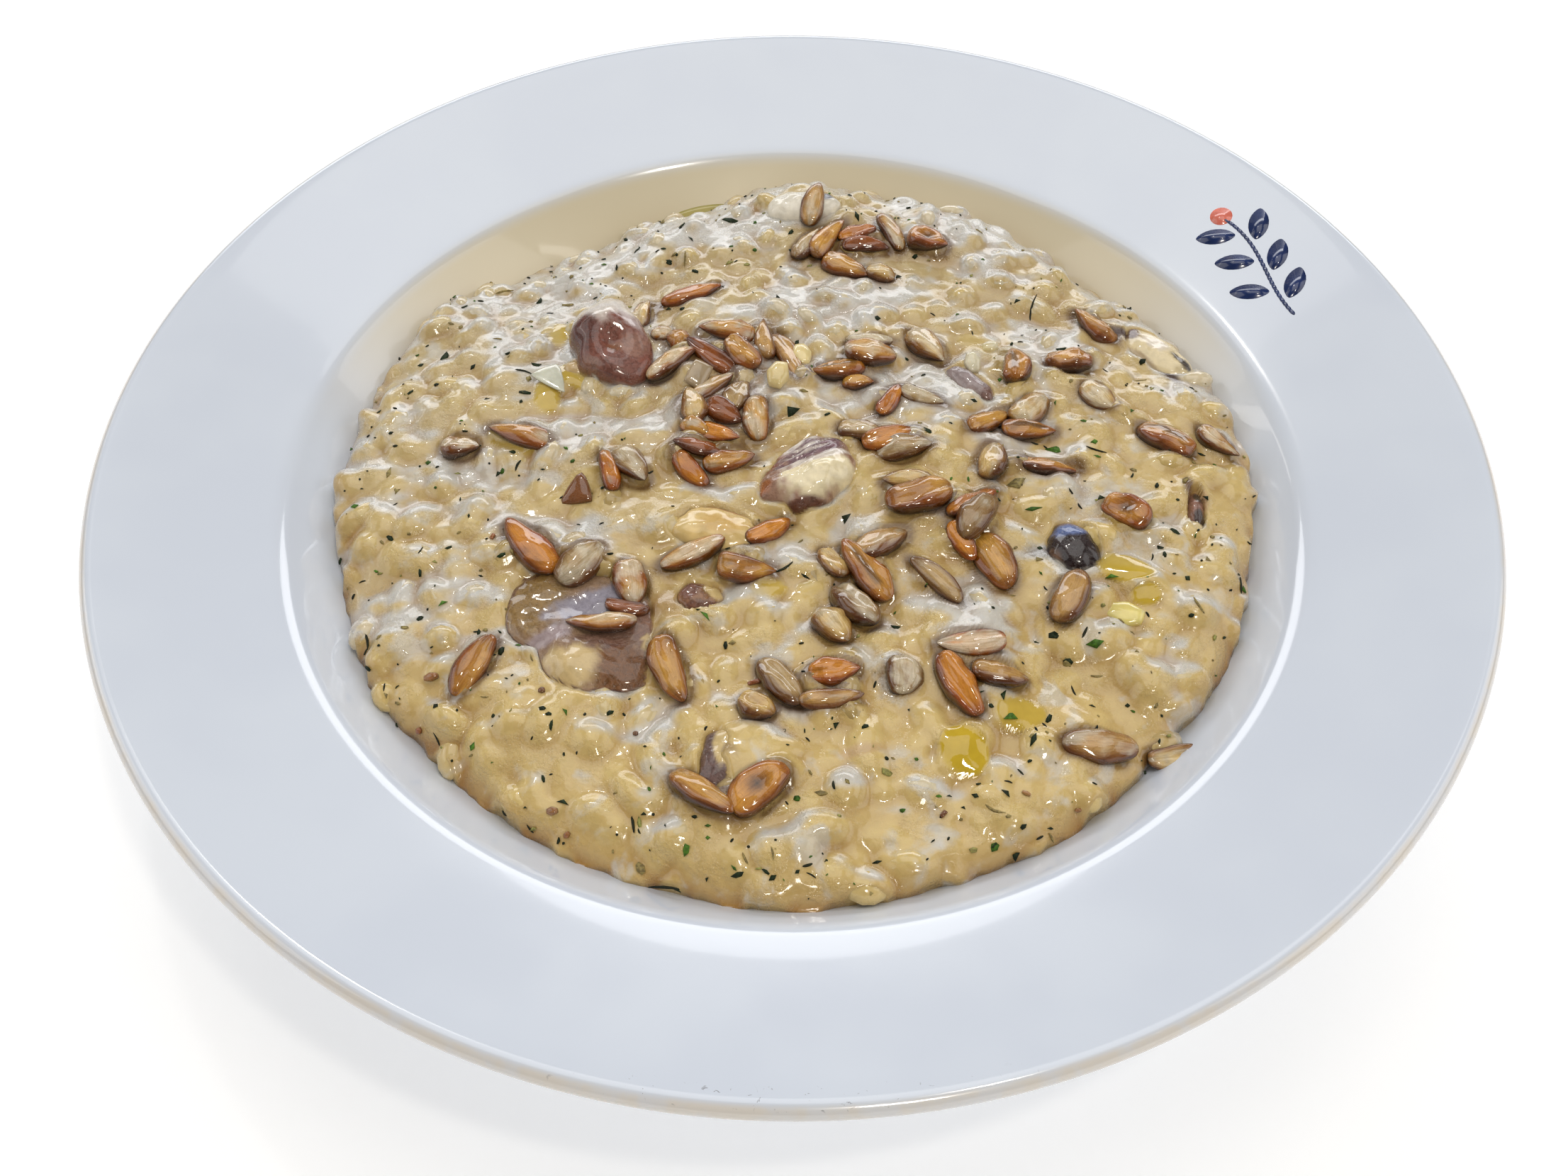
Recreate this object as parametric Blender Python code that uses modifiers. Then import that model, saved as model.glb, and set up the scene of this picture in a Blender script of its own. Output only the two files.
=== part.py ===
"""Mushroom risotto in a deep porcelain plate, each piece a closed solid of its own.

The plate stands on its foot ring. The origin is on the table, at the middle of the foot ring.
+Z is up, and -Y is the near side. Every length below is in millimetres, and MM makes it metres.
"""
import math

import bmesh
import bpy
from mathutils import Matrix, Vector

MM = 0.001
OBJECT_NAME = "mushroom_risotto"
SEGMENTS = 60  # steps round the plate and the heap, the same for both so that their walls stay parallel
GAP = 0.4  # air between the plate and the heap
POCKET_GAP = 0.3  # air between a mushroom piece and its pocket in the heap
MERGE = 0.00005  # merge distance in metres

# the plate
PLATE_RADIUS = 120.0
PLATE_HEIGHT = 38.0
LIP_ROUND = 1.9  # half of the rim's thickness, and the radius of its rounded lip
RIM_SLOPE = 17.0  # degrees
WELL_RADIUS = 89.3  # where the rim turns down into the well
WALL_SLOPE = 45.0  # degrees
WALL_THICKNESS = 4.2
WELL_EDGE_ROUND = 8.0
UNDER_EDGE_ROUND = 5.0
COVE_ROUND = 24.0  # between the wall and the floor
FLOOR_TOP = 6.5
RECESS = 3.0  # height of the underside inside the foot ring
FOOT_OUTER = 68.2
FOOT_INNER = 63.8
FOOT_EDGE = 0.8
WALL_END = 5.5  # height where the outer wall turns into the foot

# the heap of risotto
HEAP_RADIUS = 83.0
HEAP_EDGE_LEVEL = 23.4  # mean height of the heap's edge on the wall
EDGE_LEVEL_REACH = 14.0  # how far in the edge's own height is felt
SHOULDER_RISE = 5.2
SHOULDER_RUN = 3.0
DOME_RISE = 3.9
DOME_REACH = 48.0
OUTLINE_SWELLS = (  # angle and half width in degrees, then how far the edge moves out or in
    (118.0, 20.0, -4.4),
    (146.0, 12.0, 0.6),
    (92.0, 14.0, 1.4),
    (48.0, 20.0, -1.6),
    (176.0, 22.0, -1.2),
    (222.0, 26.0, -2.6),
    (274.0, 30.0, 0.8),
    (322.0, 16.0, -2.2),
)
LUMPS = (  # place, radius and height of each low mound or hollow
    (3, 70, 12, 3.2),
    (-24, 60, 11, 1.6),
    (34, 60, 12, 1.6),
    (14, 52, 12, 1.0),
    (-14, 16, 15, 0.9),
    (-58, 22, 13, 0.8),
    (-66, -12, 13, 0.7),
    (-56, -38, 12, 0.8),
    (60, -6, 14, 1.0),
    (72, 22, 9, 0.9),
    (24, -12, 14, 0.6),
    (-6, -62, 12, 1.0),
    (38, -68, 12, 0.7),
    (-22, -48, 9, -0.8),
    (50, 36, 11, -0.6),
    (14, -66, 10, -0.7),
)
FOLD_DEPTH = 1.0
FOLD_LENGTH = 17.0  # from one spoon fold to the next
FOLD_PLACE = (48.0, -38.0)
FOLD_REACH = 26.0
FOLD_HEADING = 38.0  # degrees, across the folds
TOP_RINGS = (0.12, 0.24, 0.36, 0.46, 0.56, 0.65, 0.73, 0.80, 0.86, 0.91, 0.95, 0.98)
UNDER_RINGS = (0.93, 0.87, 0.81, 0.75, 0.69)

# Mushroom pieces: place, length, width, depth, turn in degrees, how proud the top stands, the
# flatness of the top, the taper towards the far end of its length, and dents in the top. A dent is
# its place along and across the piece, its radius and its depth, and a negative depth is a bump.
MUSHROOMS = {
    "mushroom_cap_left": (-35, 29, 14.5, 19.5, 11, 0, 4.2, 0.8, 0.0, ((1, -5, 3, 2.0), (-4, -6, 3, 1.0))),
    "mushroom_slice_middle": (3, -4.5, 19.5, 14, 10, 30, 3.2, 0.8, 0.25, ((-1, 4, 3.5, 1.2),)),
    "mushroom_cap_large": (-33.5, -35, 28.5, 26.5, 9, -32, 1.6, 0.6, 0.0, ((-5, 6, 7, 1.6), (3, -7, 4, -0.9))),
    "mushroom_gills": (-15.4, -29.6, 8.5, 6.5, 6, 10, 1.2, 0.7, 0.0, ()),
    "mushroom_slice_pale": (-13, -16.2, 17, 9, 7, -14, 1.4, 0.7, 0.0, ()),
    "mushroom_cap_dark": (48, -21, 12, 10, 9, -62, 3.0, 0.9, -0.3, ((-2, -3, 2.5, 0.8),)),
    "mushroom_piece_near": (-4.5, -60, 19, 12.5, 9, 8, 1.9, 0.6, -0.2, ()),
    "mushroom_piece_far": (2.5, 70, 15, 9.5, 9, 10, 1.8, 0.7, 0.0, ((3.5, 1, 2.5, 0.8),)),
    "mushroom_slice_right": (69.5, 31, 16, 8.5, 7, -52, 1.5, 0.7, 0.0, ()),
    "mushroom_strip": (32.8, 20, 11, 5.5, 6, -48, 1.0, 0.8, 0.2, ()),
    "mushroom_bit_right": (71, -8, 9.5, 4.5, 6, 84, 1.0, 0.8, 0.0, ()),
}
FINE_LENGTH = 12.0  # a piece longer than this gets the finer ball
FINE_BALL = (16, 8)  # steps round and from pole to pole
COARSE_BALL = (12, 6)

PORCELAIN = ("porcelain", (0.80, 0.82, 0.86), 0.12)
CREAM = ("risotto_cream", (0.72, 0.62, 0.42), 0.30)
BROWN_FLESH = ("mushroom_flesh", (0.20, 0.12, 0.09), 0.30)


def arc(centre, radius, start, end, steps):
    """The points of a round stretch between two angles in degrees, both ends included."""
    points = []
    for step in range(steps + 1):
        angle = math.radians(start + (end - start) * step / steps)
        points.append((centre[0] + radius * math.cos(angle), centre[1] + radius * math.sin(angle)))
    return points


def rounded_corner(corner, radius, start, end, steps):
    """The arc that rounds a corner, whose two sides have normals at the angles start and end."""
    middle = math.radians((start + end) / 2)
    reach = radius / math.cos(math.radians(end - start) / 2)
    centre = (corner[0] - reach * math.cos(middle), corner[1] - reach * math.sin(middle))
    return arc(centre, radius, start, end, steps)


# where the plate's straight runs meet, worked out from its driving sizes
RIM_RISE = math.tan(math.radians(RIM_SLOPE))
LIP_CENTRE = (PLATE_RADIUS - LIP_ROUND, PLATE_HEIGHT - LIP_ROUND)
LIP_START = arc(LIP_CENTRE, LIP_ROUND, 90 + RIM_SLOPE, 90, 1)[0]
WELL_EDGE_Z = LIP_START[1] - RIM_RISE * (LIP_START[0] - WELL_RADIUS)
WALL_FOOT = WELL_RADIUS - (WELL_EDGE_Z - FLOOR_TOP)  # where the wall's line would meet the floor
COVE_START = WALL_FOOT - COVE_ROUND * math.tan(math.radians(WALL_SLOPE / 2))
COVE_CENTRE = (COVE_START, FLOOR_TOP + COVE_ROUND)


def outer_wall_radius(height):
    """The radius of the plate's outer wall at a height."""
    return WALL_FOOT + (height - FLOOR_TOP) + WALL_THICKNESS * math.sqrt(2)


def well_height(radius):
    """The height of the plate's inner surface, from the floor up to the edge of the well."""
    if radius <= COVE_START:
        return FLOOR_TOP
    if radius <= COVE_START + COVE_ROUND * math.sin(math.radians(WALL_SLOPE)):
        return COVE_CENTRE[1] - math.sqrt(COVE_ROUND**2 - (radius - COVE_START) ** 2)
    return FLOOR_TOP + radius - WALL_FOOT


def plate_profile():
    """The plate's section from the middle of the floor, out over the lip and back underneath."""
    thickness = 2 * LIP_ROUND
    under_start = arc(LIP_CENTRE, LIP_ROUND, RIM_SLOPE - 90, 0, 1)[0]
    # the rim's underside meets the outer wall
    offset = under_start[1] - RIM_RISE * under_start[0]
    wall_offset = FLOOR_TOP - WALL_FOOT - WALL_THICKNESS * math.sqrt(2)
    under_radius = (wall_offset - offset) / (RIM_RISE - 1)
    under_corner = (under_radius, under_radius + wall_offset)

    points = [(0.0, FLOOR_TOP)]
    points += arc(COVE_CENTRE, COVE_ROUND, -90, WALL_SLOPE - 90, 4)
    points += rounded_corner((WELL_RADIUS, WELL_EDGE_Z), WELL_EDGE_ROUND, 90 + WALL_SLOPE, 90 + RIM_SLOPE, 3)
    points += arc(LIP_CENTRE, LIP_ROUND, 90 + RIM_SLOPE, RIM_SLOPE - 90, 7)
    points += rounded_corner(under_corner, -UNDER_EDGE_ROUND, RIM_SLOPE - 90, WALL_SLOPE - 90, 2)
    points.append((outer_wall_radius(WALL_END), WALL_END))
    points.append((FOOT_OUTER + FOOT_EDGE / 2, RECESS))
    points += arc((FOOT_OUTER - FOOT_EDGE, FOOT_EDGE), FOOT_EDGE, 0, -90, 2)
    points += arc((FOOT_INNER + FOOT_EDGE, FOOT_EDGE), FOOT_EDGE, -90, -180, 2)
    points.append((FOOT_INNER - thickness / 4, RECESS))
    points.append((0.0, RECESS))
    return points


def heap_profile():
    """The heap's section, top first, on a circle of HEAP_RADIUS. shape_heap gives its real form."""
    top = [(0.0, 1.0)] + [(ring * HEAP_RADIUS, 1.0) for ring in TOP_RINGS]
    under = [(ring * HEAP_RADIUS, -1.0) for ring in UNDER_RINGS] + [(0.0, -1.0)]
    return top + [(HEAP_RADIUS, -1.0)] + under


def edge_radius(angle):
    """How far out the risotto reaches, at an angle in degrees round the plate."""
    radius = HEAP_RADIUS + 0.5 * math.sin(math.radians(7 * angle)) + 0.4 * math.cos(math.radians(12 * angle))
    for place, half_width, swell in OUTLINE_SWELLS:
        apart = (angle - place + 180) % 360 - 180
        radius += swell * math.exp(-((apart / half_width) ** 2))
    return radius


def heap_height(x, y):
    """The height of the risotto's surface: a rounded shoulder, a low dome, mounds and folds."""
    radius = math.hypot(x, y)
    edge = edge_radius(math.degrees(math.atan2(y, x)))
    inside = max(edge - radius, 0.0)
    edge_lift = well_height(edge) + GAP - HEAP_EDGE_LEVEL
    height = HEAP_EDGE_LEVEL + edge_lift * math.exp(-inside / EDGE_LEVEL_REACH)
    height += SHOULDER_RISE * (1 - math.exp(-inside / SHOULDER_RUN))
    height += DOME_RISE * (1 - math.exp(-((inside / DOME_REACH) ** 2)))
    # mounds and folds die out towards the edge, where the heap meets the wall
    fade = 1 - math.exp(-((inside / SHOULDER_RUN) ** 2))
    relief = 0.0
    for place_x, place_y, reach, rise in LUMPS:
        relief += rise * math.exp(-((x - place_x) ** 2 + (y - place_y) ** 2) / reach**2)
    heading = math.radians(FOLD_HEADING)
    across = x * math.cos(heading) + y * math.sin(heading)
    from_fold = math.hypot(x - FOLD_PLACE[0], y - FOLD_PLACE[1])
    fold = math.cos(2 * math.pi * across / FOLD_LENGTH) * math.exp(-((from_fold / FOLD_REACH) ** 2))
    return height + fade * (relief + FOLD_DEPTH * fold)


def add_material(thing, finish):
    """Give a piece its own Principled material."""
    name, colour, roughness = finish
    material = bpy.data.materials.new(thing.name + "_" + name)
    material.use_nodes = True
    shader = material.node_tree.nodes["Principled BSDF"]
    shader.inputs["Base Color"].default_value = (*colour, 1.0)
    shader.inputs["Roughness"].default_value = roughness
    shader.inputs["Metallic"].default_value = 0.0
    thing.data.materials.append(material)


def turned_mesh(name, points):
    """The mesh of a profile turned once round the Z axis by a Screw modifier."""
    profile = bpy.data.meshes.new(name + "_profile")
    corners = [(radius * MM, 0.0, height * MM) for radius, height in points]
    sides = [(i, i + 1) for i in range(len(corners) - 1)]
    profile.from_pydata(corners, sides, [])
    holder = bpy.data.objects.new(name + "_profile", profile)
    bpy.context.scene.collection.objects.link(holder)
    screw = holder.modifiers.new("turn", "SCREW")
    screw.angle = 2 * math.pi
    screw.steps = SEGMENTS
    screw.render_steps = SEGMENTS
    screw.use_merge_vertices = True
    screw.merge_threshold = MERGE
    bpy.context.view_layer.update()
    turned = holder.evaluated_get(bpy.context.evaluated_depsgraph_get())
    mesh = bpy.data.meshes.new_from_object(turned)
    mesh.name = name
    bpy.data.objects.remove(holder)
    return mesh


def shape_heap(mesh):
    """Move the turned blank's points onto the heap's surface and just off the plate's inside."""
    for vertex in mesh.vertices:
        x, y, z = vertex.co / MM
        ring = math.hypot(x, y) / HEAP_RADIUS
        angle = math.degrees(math.atan2(y, x))
        radius = ring * edge_radius(angle)
        x = radius * math.cos(math.radians(angle))
        y = radius * math.sin(math.radians(angle))
        z = heap_height(x, y) if z > 0 else well_height(radius) + GAP
        vertex.co = Vector((x, y, z)) * MM


def mushroom_mesh(name, swelling=0.0):
    """A mushroom piece shaped from a ball. swelling moves its skin out, for the pocket it lies in."""
    x, y, length, width, depth, turn, proud, flatness, taper, dents = MUSHROOMS[name]
    ball = bmesh.new()
    round_steps, rise_steps = FINE_BALL if length > FINE_LENGTH else COARSE_BALL
    bmesh.ops.create_uvsphere(ball, u_segments=round_steps, v_segments=rise_steps, radius=1.0)
    for vertex in ball.verts:
        along, across, up = vertex.co
        swirl = math.atan2(across, along)
        # a slightly uneven outline, different on each piece
        outline = 1 + 0.04 * math.sin(2 * swirl + x) + 0.03 * math.sin(3 * swirl + y)
        level = math.copysign(abs(up) ** flatness, up)
        place_x = along * outline * length / 2
        place_y = across * outline * (1 + taper * along) * width / 2
        place_z = level * depth / 2
        for dent_x, dent_y, reach, sink in dents:
            distance = (place_x - dent_x) ** 2 + (place_y - dent_y) ** 2
            place_z -= max(up, 0.0) * sink * math.exp(-distance / reach**2)
        vertex.co = Vector((place_x, place_y, place_z))
    if swelling:
        ball.normal_update()
        moves = [vertex.normal * swelling for vertex in ball.verts]
        for vertex, move in zip(ball.verts, moves):
            vertex.co += move
    sunk = heap_height(x, y) + proud - depth / 2
    place = Matrix.Scale(MM, 4) @ Matrix.Translation((x, y, sunk)) @ Matrix.Rotation(math.radians(turn), 4, "Z")
    bmesh.ops.transform(ball, matrix=place, verts=ball.verts)
    mesh = bpy.data.meshes.new(name)
    ball.to_mesh(mesh)
    ball.free()
    return mesh


def add_object(name, mesh, collection):
    """Put a mesh in the scene as one smooth-shaded object."""
    mesh.shade_smooth()
    thing = bpy.data.objects.new(name, mesh)
    collection.objects.link(thing)
    return thing


def build_plate(parts):
    plate = add_object("plate", turned_mesh("plate", plate_profile()), parts)
    add_material(plate, PORCELAIN)


def build_risotto(parts, cutters):
    """The heap, with a pocket for each mushroom piece that lies in it."""
    mesh = turned_mesh("risotto", heap_profile())
    shape_heap(mesh)
    risotto = add_object("risotto", mesh, parts)
    add_material(risotto, CREAM)
    for name in MUSHROOMS:
        cutter = add_object(name + "_pocket", mushroom_mesh(name, POCKET_GAP), cutters)
        cutter.hide_render = True
        cutter.display_type = "WIRE"
        pocket = risotto.modifiers.new(name + "_pocket", "BOOLEAN")
        pocket.operation = "DIFFERENCE"
        pocket.solver = "EXACT"
        pocket.object = cutter


def build_mushrooms(parts):
    for name in MUSHROOMS:
        piece = add_object(name, mushroom_mesh(name), parts)
        add_material(piece, BROWN_FLESH)


def main():
    for thing in list(bpy.data.objects):
        bpy.data.objects.remove(thing)
    parts = bpy.data.collections.new(OBJECT_NAME)
    cutters = bpy.data.collections.new(OBJECT_NAME + "_cutters")
    bpy.context.scene.collection.children.link(parts)
    bpy.context.scene.collection.children.link(cutters)
    build_plate(parts)
    build_risotto(parts, cutters)
    build_mushrooms(parts)


main()
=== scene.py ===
# %% [markdown]
# # A plate of mushroom risotto
# A wide-rimmed porcelain plate carries a heap of creamy rice with mushroom pieces, toasted
# sunflower kernels, chopped herbs and a little oil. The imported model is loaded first, because every
# piece below takes its place from it. Each piece is shaped in millimetres, which suits a thing
# of this size, and is written in metres when it is finished.

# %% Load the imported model
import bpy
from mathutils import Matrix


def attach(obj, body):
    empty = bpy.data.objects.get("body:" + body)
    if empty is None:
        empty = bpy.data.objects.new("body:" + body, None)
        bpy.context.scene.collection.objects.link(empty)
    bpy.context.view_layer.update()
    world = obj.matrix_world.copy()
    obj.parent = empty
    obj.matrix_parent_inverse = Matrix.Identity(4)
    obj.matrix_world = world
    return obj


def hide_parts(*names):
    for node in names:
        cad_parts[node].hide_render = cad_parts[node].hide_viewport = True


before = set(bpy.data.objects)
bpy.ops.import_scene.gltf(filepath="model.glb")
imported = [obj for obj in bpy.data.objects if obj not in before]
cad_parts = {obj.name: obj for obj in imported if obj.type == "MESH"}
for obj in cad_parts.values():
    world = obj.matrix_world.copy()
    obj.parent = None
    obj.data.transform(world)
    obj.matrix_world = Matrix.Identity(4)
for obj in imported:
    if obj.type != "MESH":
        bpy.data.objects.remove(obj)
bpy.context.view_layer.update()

# %% [markdown]
# ## Small helpers
# Blender's nodes want linear light, while colours are easier to name on the 0 to 255 scale of a
# screen, so one helper turns one into the other. Another finishes a bmesh: it scales it to metres,
# makes it an object at the origin, gives it its finish, and tells the frame which body it belongs to.
# Two more do what many pieces need: move every point, and turn a flat form into a thin plate.

# %% Units, colours and finished pieces
import math
from collections import namedtuple

import bmesh
import bpy
import numpy as np
from mathutils import Matrix, Vector

MM = 0.001


def srgb(red, green, blue):
    """A screen colour, 0 to 255, as linear light."""
    share = np.array([red, green, blue]) / 255
    return np.where(share <= 0.04045, share / 12.92, ((share + 0.055) / 1.055) ** 2.4)


def finish_piece(name, form, material, marks=None):
    """A bmesh in millimetres becomes a smooth object in metres, with values painted on its points."""
    bmesh.ops.scale(form, vec=(MM, MM, MM), verts=form.verts)
    mesh = bpy.data.meshes.new(name)
    form.to_mesh(mesh)
    form.free()
    mesh.shade_smooth()
    for mark, values in (marks or {}).items():
        values = np.asarray(values, dtype=np.float32)
        if values.ndim == 1:
            mesh.attributes.new(mark, "FLOAT", "POINT").data.foreach_set("value", values)
        elif mark == "paint":
            full = np.hstack([np.clip(values, 0, 1), np.ones((len(values), 1), np.float32)])
            mesh.attributes.new(mark, "FLOAT_COLOR", "POINT").data.foreach_set("color", full.ravel())
        else:
            mesh.attributes.new(mark, "FLOAT_VECTOR", "POINT").data.foreach_set("vector", values.ravel())
    mesh.materials.append(material)
    piece = bpy.data.objects.new(name, mesh)
    bpy.context.scene.collection.objects.link(piece)
    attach(piece, "root")
    print(name, "has", sum(len(face.vertices) - 2 for face in mesh.polygons), "triangles")
    return piece


def place_points(form, places):
    """Moves each point of a bmesh to its own new place."""
    for vert, place in zip(form.verts, places):
        vert.co = place


def thicken(form, lift):
    """Gives a flat form a thickness: its faces are extruded and moved by lift along Z."""
    grown = bmesh.ops.extrude_face_region(form, geom=form.faces[:])["geom"]
    moved = [item for item in grown if isinstance(item, bmesh.types.BMVert)]
    bmesh.ops.translate(form, vec=(0, 0, lift), verts=moved)
    bmesh.ops.recalc_face_normals(form, faces=form.faces)


print("a screen's middle grey is", round(float(srgb(128, 128, 128)[0]), 3), "in linear light")

# %% [markdown]
# ## Node helpers
# A material is a small tree of nodes. These helpers keep each tree short enough to read: one adds
# a node with its inputs, one mixes two colours, one does a sum, one remaps a value, one mottles a
# colour, and the last turns a height into a bump.

# %% Helpers for materials
def new_finish(name, **sockets):
    """A Principled material with its own constants. Returns the material, its tree and its shader."""
    material = bpy.data.materials.new(name)
    material.use_nodes = True
    shader = material.node_tree.nodes["Principled BSDF"]
    for socket, value in sockets.items():
        shader.inputs[socket.replace("_", " ")].default_value = value
    return material, material.node_tree, shader


def add_node(tree, kind, inputs, **settings):
    """A new node. An input is a constant, or a socket to wire in."""
    made = tree.nodes.new("ShaderNode" + kind)
    for setting, value in settings.items():
        setattr(made, setting, value)
    for place, value in inputs.items():
        if isinstance(value, bpy.types.NodeSocket):
            tree.links.new(value, made.inputs[place])
        else:
            made.inputs[place].default_value = value
    return made


def mix_colours(tree, share, first, second, way="MIX"):
    """The colour between two colours, or one laid over the other in another way."""
    made = add_node(tree, "Mix", {0: share, 6: first, 7: second}, data_type="RGBA", blend_type=way)
    return made.outputs[2]


def mottled(tree, share, colour, dark, light):
    """A colour made a little darker in some places and lighter in others."""
    tint = mix_colours(tree, share, (*dark, 1), (*light, 1))
    return mix_colours(tree, 1.0, colour, tint, "MULTIPLY")


def sum_of(tree, operation, first, second):
    """The result of one sum, such as ADD or MULTIPLY."""
    return add_node(tree, "Math", {0: first, 1: second}, operation=operation).outputs[0]


def remap(tree, value, low, high, to_low, to_high):
    """A value between low and high, spread over another range and kept inside it."""
    inputs = {0: value, 1: low, 2: high, 3: to_low, 4: to_high}
    return add_node(tree, "MapRange", inputs, interpolation_type="SMOOTHSTEP").outputs[0]


def grain_noise(tree, where, size_mm, detail=3.0, distortion=0.0):
    """Soft noise whose spots are about size_mm across."""
    inputs = {"Vector": where, "Scale": 1 / (size_mm * MM), "Detail": detail, "Distortion": distortion}
    return add_node(tree, "TexNoise", inputs).outputs["Fac"]


def object_place(tree):
    """Where a point lies in the object's own coordinates."""
    return add_node(tree, "TexCoord", {}).outputs["Object"]


def painted(tree, mark, output="Color"):
    """What was painted on the mesh under this name."""
    return add_node(tree, "Attribute", {}, attribute_name=mark).outputs[output]


def add_bump(tree, shader, height, depth_mm):
    """Lets a height from 0 to 1 bend the light as relief of some depth would."""
    bump = add_node(tree, "Bump", {"Height": height, "Distance": depth_mm * MM, "Strength": 1.0})
    tree.links.new(bump.outputs["Normal"], shader.inputs["Normal"])


print("noise with spots of 5 mm has a scale of", 1 / (5 * MM))

# %% [markdown]
# ## The camera and the light
# The plate is seen from the diner's side, from about half an arm above the table. The light is
# that of a bright room. A wide window behind the plate draws the highlights on the wet rice. Two
# walls and a ceiling send soft light back, and two thin lamps put streaks on the glaze. Two small
# bulbs make the sparks on wet cream and oil, and a lamp in front lifts the near side.

# %% Camera, floor and lights
EYE = Vector((-1.4, -195.2, 244.0))
LOOK_AT = Vector((-1.4, -34.3, 38.0))
LENS, SENSOR_WIDTH = 37.43, 36.0
LIGHTS = (  # name, place and size in metres, power in watts, colour
    ("window", (0.0, 1.70, 0.80), (2.2, 0.5), 13.4, (0.97, 0.98, 1.0)),
    ("lamp_left", (-1.06, 0.51, 0.58), (1.0, 0.05), 0.5, (1.0, 0.96, 0.90)),
    ("lamp_right", (0.79, -0.50, 1.0), (0.40, 0.02), 0.12, (1.0, 0.96, 0.90)),
    ("left_wall", (-1.5, 0.0, 0.9), (1.6, 1.0), 5.8, (1.0, 0.99, 0.98)),
    ("right_wall", (1.5, 0.0, 0.9), (1.6, 1.0), 6.8, (1.0, 0.99, 0.98)),
    ("ceiling", (0.0, 0.4, 1.6), (1.6, 1.2), 8.6, (1.0, 0.99, 0.97)),
    ("bulb_near", (0.35, -0.35, 1.35), (0.10, 0.10), 2.2, (1.0, 0.94, 0.84)),
    ("bulb_far", (-0.30, 0.75, 1.20), (0.08, 0.08), 1.1, (1.0, 0.97, 0.92)),
    ("lamp_front", (0.30, -1.10, 1.20), (0.24, 0.24), 6.0, (1.0, 0.94, 0.84)),
)
ROOM_LIGHT = 0.11
FLOOR_SIZE = 3.0
FLOOR_GLOW = 0.20


def add_camera():
    """The camera at the diner's eye, turned to the plate."""
    camera = bpy.data.objects.new("camera", bpy.data.cameras.new("camera"))
    camera.data.sensor_width = SENSOR_WIDTH
    camera.data.lens = LENS
    camera.data.clip_start = 0.01
    camera.location = EYE * MM
    camera.rotation_euler = (LOOK_AT - EYE).to_track_quat("-Z", "Y").to_euler()
    bpy.context.scene.collection.objects.link(camera)
    bpy.context.scene.camera = camera


def add_light(name, place, size, power, colour):
    """A soft rectangular light that faces the plate."""
    light = bpy.data.lights.new(name, "AREA")
    light.shape = "RECTANGLE"
    light.size, light.size_y = size
    light.energy = power
    light.color = colour
    lamp = bpy.data.objects.new(name, light)
    lamp.location = place
    lamp.rotation_euler = (Vector((0, 0, 0.03)) - Vector(place)).to_track_quat("-Z", "Y").to_euler()
    bpy.context.scene.collection.objects.link(lamp)


add_camera()
for light in LIGHTS:
    add_light(*light)
world = bpy.data.worlds.new("room")
bpy.context.scene.world = world
world.use_nodes = True
world.node_tree.nodes["Background"].inputs["Color"].default_value = (0.93, 0.95, 1.0, 1.0)
world.node_tree.nodes["Background"].inputs["Strength"].default_value = ROOM_LIGHT
bpy.context.scene.view_settings.view_transform = "Standard"

floor_form = bmesh.new()
bmesh.ops.create_grid(floor_form, x_segments=1, y_segments=1, size=FLOOR_SIZE)
floor_mesh = bpy.data.meshes.new("floor")
floor_form.to_mesh(floor_mesh)
floor_form.free()
floor = bpy.data.objects.new("floor", floor_mesh)
bpy.context.scene.collection.objects.link(floor)
floor_finish, _, _ = new_finish("pale_floor", Base_Color=(0.96, 0.96, 0.96, 1), Roughness=0.8,
                                Emission_Color=(1, 1, 1, 1), Emission_Strength=FLOOR_GLOW)
floor_mesh.materials.append(floor_finish)
print("camera, floor and", len(LIGHTS), "lights are in place")

# %% [markdown]
# ## The plate's section
# The plate is a turned form: one section from the middle of the floor, over the wide sloping rim
# and its rounded lip, and back underneath to the foot ring. The sizes are those of the packed
# model. That model is turned in sixty steps, which shows as corners on the lip, so the plate is
# turned again here in many more steps and stands for it.

# %% The plate's sizes and its inner surface
LIP_ROUND = 1.9
PLATE_RADIUS = 120.0
PLATE_HEIGHT = 38.0
RIM_RISE = math.tan(math.radians(17.0))
WELL_RADIUS = 89.3
WALL_SLOPE = 45.0
COVE_ROUND = 24.0
FLOOR_TOP = 6.5
RECESS = 3.0
WALL_THICKNESS = 4.2
LIP_CENTRE = (PLATE_RADIUS - LIP_ROUND, PLATE_HEIGHT - LIP_ROUND)


def arc(centre, radius, start, end, steps):
    """The points of a round stretch between two angles in degrees, both ends included."""
    angles = [math.radians(start + (end - start) * step / steps) for step in range(steps + 1)]
    return [(centre[0] + radius * math.cos(a), centre[1] + radius * math.sin(a)) for a in angles]


def rounded_corner(corner, radius, start, end, steps):
    """The arc that rounds a corner, whose two sides have normals at the angles start and end."""
    middle = math.radians((start + end) / 2)
    reach = radius / math.cos(math.radians(end - start) / 2)
    centre = (corner[0] - reach * math.cos(middle), corner[1] - reach * math.sin(middle))
    return arc(centre, radius, start, end, steps)


LIP_START = arc(LIP_CENTRE, LIP_ROUND, 107, 90, 1)[0]
WELL_EDGE_Z = LIP_START[1] - RIM_RISE * (LIP_START[0] - WELL_RADIUS)
WALL_FOOT = WELL_RADIUS - (WELL_EDGE_Z - FLOOR_TOP)
COVE_START = WALL_FOOT - COVE_ROUND * math.tan(math.radians(WALL_SLOPE / 2))


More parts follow.
